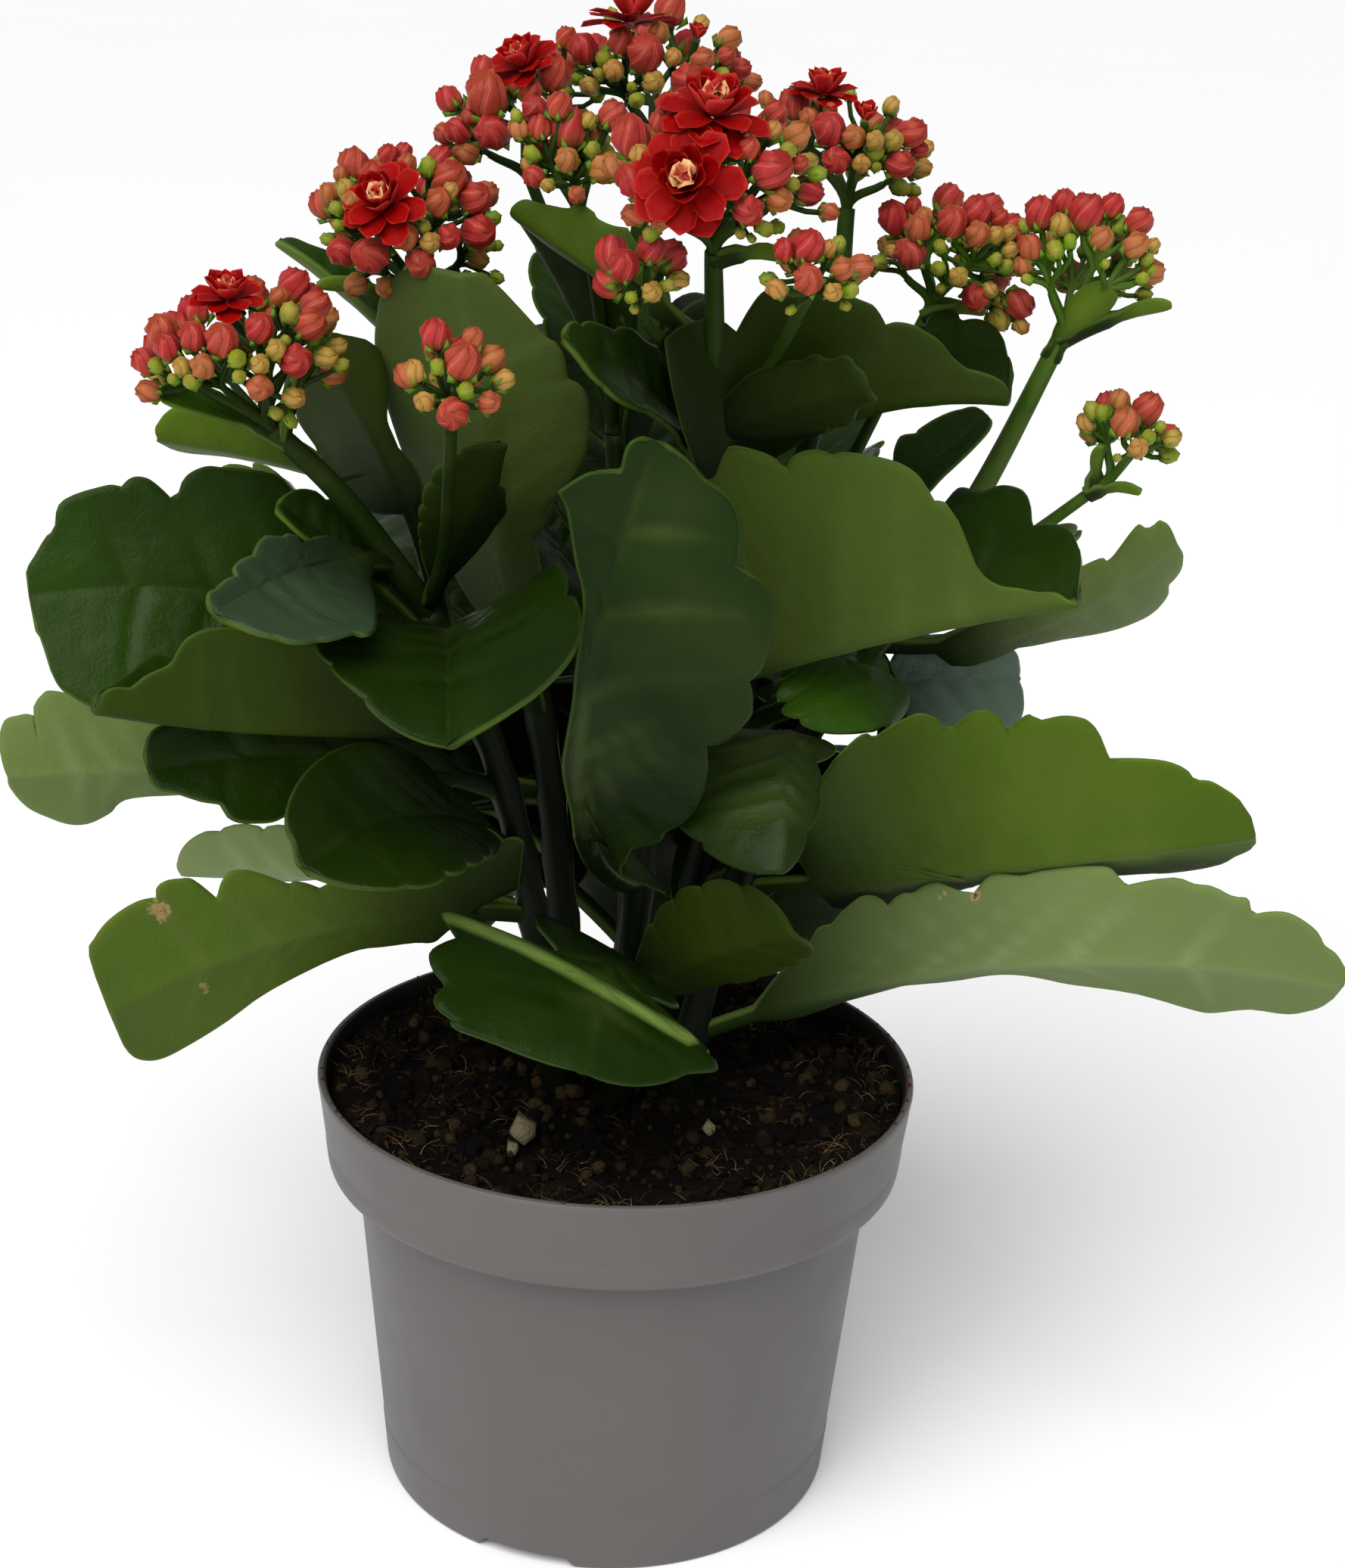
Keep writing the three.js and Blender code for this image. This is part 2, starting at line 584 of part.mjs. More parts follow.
function leafRing(leaf, midrib, t, across, grow) {
  const along = midrib.curve.getTangent(t);
  const turn = THREE.MathUtils.degToRad(leaf.roll + leaf.twist * (t - 0.4));
  const flat = midrib.side.clone().addScaledVector(along, -midrib.side.dot(along)).normalize();
  const right = flat.clone().applyAxisAngle(along, turn);
  const top = right.clone().cross(along);
  const v = Math.max(0, (t - leaf.stalk) / (1 - leaf.stalk));
  const stalkShare = Math.max(0, 1 - 3 * v);
  const thickness = THREE.MathUtils.lerp(BLADE_HALF_THICKNESS, STALK_HALF_THICKNESS, stalkShare) + grow;
  const folding = Math.min(1, FOLD_START * v, FOLD_END * (1 - t));
  const upper = [];
  const lower = [];
  for (let j = 0; j <= across; j++) {
    const s = (2 * j) / across - 1;
    const reach = Math.abs(s);
    const half = s > 0 ? 1 : 0;
    const shape = leaf.width[half] * outline(v, leaf.full[half], leaf.blunt[half]);
    const out = (Math.max(shape, STALK_HALF_WIDTH * stalkShare, TIP_HALF_WIDTH) + grow) * reach;
    const edge = leaf.curl[half] * reach * Math.min(1, 2 * v);
    const rise = THREE.MathUtils.degToRad(leaf.fold[half] * (1 - leaf.open * v) + edge) * folding;
    const hang = v > 0 ? leaf.ear[half] * reach ** 1.3 * (1 - v) ** 2.5 : 0;
    const end = (t === 1 ? grow : 0) - (t === 0 ? grow : 0);
    const point = midrib.curve.getPoint(t)
      .addScaledVector(right, Math.sign(s) * out * Math.cos(rise))
      .addScaledVector(top, out * Math.sin(rise))
      .addScaledVector(along, end - hang);
    const normal = top.clone().multiplyScalar(Math.cos(rise))
      .addScaledVector(right, -Math.sign(s) * Math.sin(rise));
    const keel = Math.max(KEEL_LIMIT, Math.cos(rise));
    const skinDepth = reach === 1 ? grow : thickness / (reach === 0 ? keel : 1);
    upper.push(point.clone().addScaledVector(normal, skinDepth));
    lower.push(point.clone().addScaledVector(normal, -skinDepth));
  }
  return [...upper, ...lower.reverse()];
}

function buildLeaf(spec, grow = 0) {
  const leaf = { ...LEAF_DEFAULTS, ...spec };
  const midrib = midribOf(leaf);
  const { rows, across } = Math.max(...leaf.width) > SMALL_LEAF_WIDTH ? LEAF_GRID : SMALL_LEAF_GRID;
  const rings = Array.from({ length: rows + 1 }, (_, i) => leafRing(leaf, midrib, i / rows, across, grow));
  return toSolid(skin(rings));
}

// Assembly: each piece is carved clear of the ones before it

const plant = new THREE.Group();
plant.name = 'potted_flaming_katy';

function place(name, solid, finish) {
  const mesh = new THREE.Mesh(toGeometry(solid), finish);
  mesh.name = name;
  plant.add(mesh);
}

place('pot', buildPot(), POT_GREY);

const shootNames = Object.keys(SHOOTS);
const placed = shootNames.map((name) => buildStem(name, GAP));
place('soil', carve(buildSoil(), placed), PEAT);
shootNames.forEach((name) => place(`stem_${name}`, buildStem(name), STEM_GREEN));

for (const name of shootNames) {
  place(`flowers_${name}`, carve(buildFlowers(name), placed), FLOWER_RED);
  placed.push(buildFlowers(name, GAP));
}

for (const [name, leaf] of Object.entries(LEAVES)) {
  place(`leaf_${name}`, carve(buildLeaf(leaf), placed), LEAF_GREEN);
  placed.push(buildLeaf(leaf, LEAF_GAP));
}

export default plant;
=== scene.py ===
import json
import math

import bpy
import numpy as np
from mathutils import Matrix, Vector, noise

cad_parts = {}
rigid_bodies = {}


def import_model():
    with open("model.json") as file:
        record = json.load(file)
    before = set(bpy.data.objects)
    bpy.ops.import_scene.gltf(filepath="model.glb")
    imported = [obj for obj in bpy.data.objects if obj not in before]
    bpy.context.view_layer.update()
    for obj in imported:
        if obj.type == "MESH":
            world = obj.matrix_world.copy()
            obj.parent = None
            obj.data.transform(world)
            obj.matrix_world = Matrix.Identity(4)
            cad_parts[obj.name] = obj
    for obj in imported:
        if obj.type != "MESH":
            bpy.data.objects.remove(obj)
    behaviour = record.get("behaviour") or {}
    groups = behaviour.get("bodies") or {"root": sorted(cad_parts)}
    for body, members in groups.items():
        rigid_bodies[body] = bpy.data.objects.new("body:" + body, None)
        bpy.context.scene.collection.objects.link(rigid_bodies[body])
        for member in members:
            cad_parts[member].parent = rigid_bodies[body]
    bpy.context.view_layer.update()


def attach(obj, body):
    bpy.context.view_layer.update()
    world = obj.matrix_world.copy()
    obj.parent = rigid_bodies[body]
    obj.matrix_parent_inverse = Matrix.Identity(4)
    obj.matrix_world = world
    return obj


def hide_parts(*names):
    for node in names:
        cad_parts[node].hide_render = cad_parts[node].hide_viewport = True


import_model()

# Sizes are in millimetres here and become metres when a mesh is made.
MM = 0.001
UP = np.array([0.0, 0.0, 1.0])
PHOTO_WIDTH = 1777
PHOTO_HEIGHT = 2072

# Camera, as solved from the pot's rim and foot

CAMERA_PLACE = np.array([0.0, -496.4, 327.2])
CAMERA_PITCH = math.radians(19.78)
CAMERA_YAW = math.radians(1.06)
CAMERA_ROLL = math.radians(2.15)
FOCAL_PIXELS = 3579.0
SENSOR = 36.0


def unit(vector):
    return np.asarray(vector, float) / np.linalg.norm(vector)


def camera_axes():
    """The camera's forward, right and up directions."""
    forward = np.array([
        math.sin(CAMERA_YAW) * math.cos(CAMERA_PITCH),
        math.cos(CAMERA_YAW) * math.cos(CAMERA_PITCH),
        -math.sin(CAMERA_PITCH),
    ])
    level = unit(np.cross(forward, UP))
    above = np.cross(level, forward)
    right = level * math.cos(CAMERA_ROLL) + above * math.sin(CAMERA_ROLL)
    up = above * math.cos(CAMERA_ROLL) - level * math.sin(CAMERA_ROLL)
    return forward, right, up


FORWARD, RIGHT, ABOVE = camera_axes()


def sight_line(x, y):
    """The direction from the camera through a point of the photograph."""
    line = FORWARD + RIGHT * (x - PHOTO_WIDTH / 2) / FOCAL_PIXELS - ABOVE * (y - PHOTO_HEIGHT / 2) / FOCAL_PIXELS
    return line / np.linalg.norm(line)


def to_photo(points):
    """Where points show in the photograph."""
    offset = points - CAMERA_PLACE
    depth = offset @ FORWARD
    x = PHOTO_WIDTH / 2 + FOCAL_PIXELS * (offset @ RIGHT) / depth
    y = PHOTO_HEIGHT / 2 - FOCAL_PIXELS * (offset @ ABOVE) / depth
    return np.stack([x, y], -1)


def photo_size(pixels, point):
    """How many millimetres so many pixels are at the depth of a point."""
    return pixels * ((np.asarray(point) - CAMERA_PLACE) @ FORWARD) / FOCAL_PIXELS


def new_object(name, data):
    piece = bpy.data.objects.new(name, data)
    bpy.context.scene.collection.objects.link(piece)
    return piece


def add_camera():
    data = bpy.data.cameras.new("photo_camera")
    data.sensor_width = SENSOR
    data.lens = FOCAL_PIXELS * SENSOR / PHOTO_HEIGHT
    camera = new_object("photo_camera", data)
    turn = Matrix((RIGHT, ABOVE, -FORWARD)).transposed().to_4x4()
    camera.matrix_world = Matrix.Translation(Vector(CAMERA_PLACE * MM)) @ turn
    bpy.context.scene.camera = camera


# Tables: a name, a colon and what belongs to it; an indented line carries on the row before it


def read_rows(text):
    for row in text.strip().replace("\n    ", " ").split("\n"):
        name, _, rest = row.partition(": ")
        yield name, rest


def read_word(word):
    """A number, if the word is one."""
    return json.loads(word) if word[-1].isdigit() else word


def read_table(text):
    """Rows such as "name: width 15 32, bow 2"; a list stands for more than one value."""
    table = {}
    for name, rest in read_rows(text):
        entries = [[read_word(word) for word in entry.split()] for entry in rest.split(",")]
        table[name] = {key: values if len(values) > 1 else values[0] for key, *values in entries}
    return table


def read_margins(text):
    """The margins of each half of a leaf's blade, lobe by lobe."""
    margins = {}
    for row, lobes in read_rows(text):
        name, half = row.split()
        points = [np.array(lobe.split(), int).reshape(-1, 2) for lobe in lobes.split("/")]
        margins.setdefault(name, {})[int(half)] = points
    return margins


# Shoots: a stem each, and flower clusters on stalks that part at the stem's top

ROOT_DEPTH = 70
STEM_FOOT_RADIUS = 3.6
STEM_TOP_RADIUS = 1.9
STEM_TOP_HEIGHT = 260
STEM_SIDES = 14

SHOOTS = {
    "left": {
        "stem": [(-10, -6, 70), (-15, -8, 112), (-24, -12, 155), (-37, -20, 188)],
        "clusters": [
            {"path": [(-51, -28, 210), (-63, -34, 224)], "centre": (-68, -35, 237), "radius": 19},
            {"path": [(-33, -34, 205), (-31, -50, 228)], "centre": (-30, -55, 237), "radius": 9.5},
        ],
    },
    "mid_left": {
        "stem": [(-8, 6, 70), (-12, 8, 120), (-18, 6, 165), (-28, 2, 205)],
        "clusters": [
            {"path": [(-40, -7, 243)], "centre": (-42, -10, 257), "radius": 18},
        ],
    },
    "back": {
        "stem": [(2, 10, 70), (2, 14, 120), (0, 14, 170), (-4, 12, 215)],
        "clusters": [
            {"path": [(-2, 14, 240), (1, 18, 268)], "centre": (1, 20, 281), "radius": 20},
            {"path": [(-12, 10, 240), (-21, 11, 262)], "centre": (-22, 11, 273), "radius": 18},
            {"path": [(-8, 0, 243), (-11, -13, 259)], "centre": (-12, -16, 268), "radius": 9.5},
        ],
    },
    "centre": {
        "stem": [(0, -8, 70), (2, -12, 115), (6, -14, 165), (12, -18, 210)],
        "clusters": [
            {"path": [(13, -28, 238), (12, -40, 258)], "centre": (11, -43, 271), "radius": 19},
            {"path": [(7, -24, 234), (1, -40, 246)], "centre": (0, -45, 254), "radius": 8},
            {"path": [(20, -26, 230), (26, -49, 249)], "centre": (28, -54, 257), "radius": 9.5},
        ],
    },
    "right": {
        "stem": [(10, 4, 70), (14, 6, 120), (22, 6, 165)],
        "clusters": [
            {"path": [(31, 3, 210), (36, 2, 240), (37, 3, 260)], "centre": (37, 5, 271), "radius": 16},
            {"path": [(33, 3, 195), (44, 1, 222), (53, 0, 243)], "centre": (57, 1, 254), "radius": 15},
        ],
    },
    "far_right": {
        "stem": [(11, -6, 70), (18, -6, 115), (34, -5, 160), (52, -5, 188)],
        "clusters": [
            {"path": [(64, -6, 210), (76, -10, 240)], "centre": (79, -10, 252), "radius": 14.5},
            {"path": [(70, -8, 200), (86, -14, 215)], "centre": (89, -15, 223), "radius": 9.5},
        ],
    },
}

# Leaves
# on: the shoot, the height of the joint on it and, where it isn't the first, the cluster's stalk
# via, tip: where the stalk leans to and where the blade ends
# width: half widths to the left and right of the midrib, seen along it from the stem
# bow: how far the midrib arches; roll, twist: turn about the midrib; fold, curl: rise of each half
# open: share of the fold gone at the tip; stalk: bare share of the length
# full, blunt: smaller numbers widen the blade sooner, and end it more bluntly
# ear: how far each half hangs back; lobes, notch: scallops on each side and how deep they are cut
# wave: how much the margin waves; fresh, pale: shares of a lighter or greyer green; blue, dark: shares of painted
# bluish sheen and of painted shade

LEAF_DEFAULTS = dict(
    bow=6, roll=0, twist=0, fold=[15, 15], curl=[10, 10], open=0, stalk=0.2, full=[0.8, 0.8],
    blunt=[0.45, 0.45], ear=[0, 0], via=None, lobes=5, notch=0.1, wave=1.0,
    fresh=0, pale=0, blue=0, dark=0, margins={},
)
STALK_HALF_WIDTH = 2.0
STALK_HALF_THICKNESS = 1.5
BLADE_HALF_THICKNESS = 0.8
FIRST_LOBE = 0.22
SMALL_BLADE = 13
VEIN_STARTS = (0.0, 0.12, 0.25, 0.40, 0.56, 0.73)
CUT_COST = 250
FAR = 99.0
LEAF_SEED = 100
BRACT_SEED = 300
HEART_SEED = 400


LEAVES = read_table("""
front_big: on centre 132, via -19 -60 152, tip 3 -60 230, width 15 32, bow 2, roll -166, twist -14, fold 6,
    stalk 0.26, full 1.3 0.36, blunt 0.3 0.55, ear 2 34, fresh 0.35, dark 0.8
front_low: on centre 112, tip -6 -62 116, width 29 30, bow 11, roll -28, fold -8, curl 0, stalk 0.12, full 0.5,
    blunt 0.4, notch 0.12, fresh 0.2, dark 0.72
left_low: on left 124, tip -92 -50 120, width 22 24, bow 7, roll 70, twist 6, fold 10, curl 0, stalk 0.16,
    full 0.4 0.7, blunt 0.22, ear 10 0, pale 0.1, dark 0.2
right_low: on far_right 98, tip 140 -18 118, width 22 21, bow 10, roll -60, twist 10, fold 40, curl 0, open 0.9,
    stalk 0.1, full 0.6, blunt 0.33, lobes 8, pale 0.8
right_mid: on far_right 130, tip 118 -24 151, width 27 33, bow -1, roll -44, twist 8, fold 0 20, curl 0 5,
    stalk 0.14, full 0.36, blunt 0.36, ear 2 6, lobes 7, fresh 0.3, dark 0.15
right_centre_big: on centre 170, tip 77 -46 201, width 27 43, bow 2, roll -8, twist -10, fold 50 72, curl 0,
    stalk 0.08, full 1.4 0.3, blunt 0.2 0.85, ear 0 8, lobes 4, pale 0.15, dark 0.48
left_tall: on mid_left 158, tip -31 -28 251, width 20 24, bow -2, roll 6, fold 8, stalk 0.18, full 0.75, blunt 0.28,
    lobes 3, notch 0.05, pale 0.35, dark 0.5
left_upper_round: on left 170, tip -106 -36 193, width 25 20, bow 9, roll -66, fold 2, curl 4, stalk 0.14, full 0.5,
    blunt 0.28, ear 8 2, lobes 4, notch 0.14, dark 0.2
left_mid_folded: on left 164, tip -91 -56 179, width 19 18, bow -2, roll 14, fold 68 58, curl 0, stalk 0.1,
    full 0.5, blunt 0.25, fresh 0.4, dark 0.72
left_cup: on left 182, tip -30 -70 179, width 22 24, bow 8, roll -12, fold 40 0, curl 10 0, stalk 0.06, full 0.4,
    blunt 0.5, lobes 6, dark 0.65
left_small_front: on left 198, tip -69 -64 199, width 11 12, bow 3, roll -40, stalk 0.15, full 0.6, blunt 0.3,
    lobes 6, blue 0.25, dark 0.5
left_lower: on left 150, tip -85 -42 163, width 20, bow 5, roll -58, fold 5, stalk 0.15, blunt 0.35, lobes 6,
    dark 0.6
left_lower_small: on left 136, tip -56 -56 151, width 18, bow 9, roll -34, fold 5, stalk 0.12, dark 0.65
centre_right_small: on right 172, tip 47 -22 169, width 19 17, bow 10, fold -5, curl -12, stalk 0.4, lobes 4,
    fresh 0.3, dark 0.05
centre_right_dark: on far_right 154, tip 27 -52 151, width 17 22, bow 15, roll -4, fold -10, curl -12, stalk 0.42,
    full 0.4, ear 3, dark 0.7
centre_low_small: on centre 106, tip 32 -38 134, width 14, bow 3, roll -55, fold 10, stalk 0.1, dark 0.82
right_pale: on right 182, tip 107 22 195, width 24 14, bow -13, roll -55, fold 0, stalk 0.4, full 0.6, blunt 0.2,
    pale 0.5
right_back_big: on centre 208, tip 65 -28 232, width 24, bow 7, roll -24, fold 45 35, stalk 0.08, full 0.4,
    blunt 0.3, lobes 4, dark 0.82
right_small_dark: on centre 222, tip 39 -50 237, width 10 11, bow 2, roll -52, stalk 0.08, lobes 4, dark 0.96
upper_centre: on centre 216, tip -13 -36 242, width 11, bow 4, roll -50, stalk 0.08, lobes 4, dark 0.55
top_bright: on centre 240, tip -23 -14 260, width 7, bow 0, roll 56, stalk 0.15, lobes 3, fresh 0.7, dark 0.4
right_blue: on right 158, tip 79 26 164, width 19 17, bow 4, roll 55, stalk 0.3, lobes 4, blue 1.0
far_left_pale: on mid_left 144, tip -121 4 145, width 19 18, bow 3, roll 68, fold 5, stalk 0.5, full 0.6, blunt 0.2,
    lobes 3, pale 0.6
left_behind_pale: on mid_left 116, tip -92 28 116, width 11, bow 4, roll 55, stalk 0.3, pale 1.0
left_nub: on left 180, tip -63 -30 209, width 7, bow 2, roll -40, stalk 0.4, lobes 3, dark 0.35
left_back_dark: on left 178, tip -57 -14 236, width 9 22, bow 4, roll 82, fold 20, stalk 0.45, full 0.5, blunt 0.3,
    lobes 3, notch 0.05, dark 0.85
back_left_oval: on mid_left 196, tip -90 6 213, width 8 10, bow 3, roll 50, stalk 0.45, blunt 0.3, lobes 2,
    fresh 0.4
back_left_high: on mid_left 222, tip -67 6 250, width 7, bow 2, stalk 0.1, lobes 2
dark_narrow: on left 190 1, tip -23 -40 224, width 9, bow 1, stalk 0.1, lobes 7, dark 0.9
centre_back_dark: on back 218, tip -22 4 256, width 14 13, bow 2, stalk 0.1, lobes 3, dark 0.85
centre_back_low: on back 200, tip 13 12 241, width 14, bow 2, stalk 0.1, lobes 3, dark 0.95
right_back_small: on right 190 1, tip 68 20 219, width 10, bow 0, roll 40, stalk 0.3, lobes 3, dark 0.2
right_under_pale: on right 122, tip 73 26 121, width 10, roll 30, stalk 0.3, lobes 4, pale 0.5
right_under_dark: on right 126, tip 67 -10 135, width 11 9, roll 10, fold 10, stalk 0.15, lobes 4, dark 0.7
back_low_left: on back 108, tip -78 84 112, width 32, bow 14, roll 12, fold 10, lobes 7, dark 0.5, stalk 0.16,
    full 0.55, blunt 0.33
back_low_right: on back 102, tip 80 82 116, width 32, bow 13, roll -10, fold 10, lobes 7, dark 0.4, stalk 0.16,
    full 0.55, blunt 0.33
back_mid: on back 138, tip 4 108 150, width 36 35, bow 13, roll 4, fold 12, lobes 7, dark 0.6, stalk 0.16,
    full 0.55, blunt 0.33
back_mid_left: on mid_left 160, tip -76 74 178, width 32, bow 9, roll 14, fold 14, lobes 6, dark 0.5, stalk 0.16,
    full 0.55, blunt 0.33
back_mid_right: on right 152, tip 84 74 172, width 32, bow 10, roll -14, fold 14, lobes 6, dark 0.4, stalk 0.16,
    full 0.55, blunt 0.33
back_high: on back 178, tip -4 82 220, width 25, bow 7, roll -6, fold 14, stalk 0.14, full 0.6, blunt 0.33, dark 0.4
back_side_right: on right 118, tip 102 40 126, width 21, bow 9, roll -6, fold 14, stalk 0.18, full 0.55, blunt 0.33,
    lobes 7
back_side_left: on mid_left 130, tip -82 54 138, width 21, bow 8, roll 8, fold 12, stalk 0.18, full 0.55,
    blunt 0.33, lobes 7, dark 0.3
back_upper_left: on back 166, tip -38 86 192, width 23, bow 8, roll 6, fold 14, stalk 0.16, full 0.6, blunt 0.33,
    lobes 6, dark 0.4
back_upper_right: on back 160, tip 44 84 194, width 23, bow 8, roll -6, fold 14, stalk 0.16, full 0.6, blunt 0.33,
    lobes 6, dark 0.4
back_top: on back 204, tip -12 56 244, width 15, bow 4, fold 14, stalk 0.14, full 0.6, blunt 0.33
back_top_right: on right 194, tip 42 54 224, width 16, bow 4, fold 14, stalk 0.16, full 0.6, blunt 0.33
""")


# Margins as read from the photograph, for each half of a blade, from the stem to the tip.
# Each is a row of pixels, x and y; a stroke parts two lobes, and a lobe starts at the notch before it.

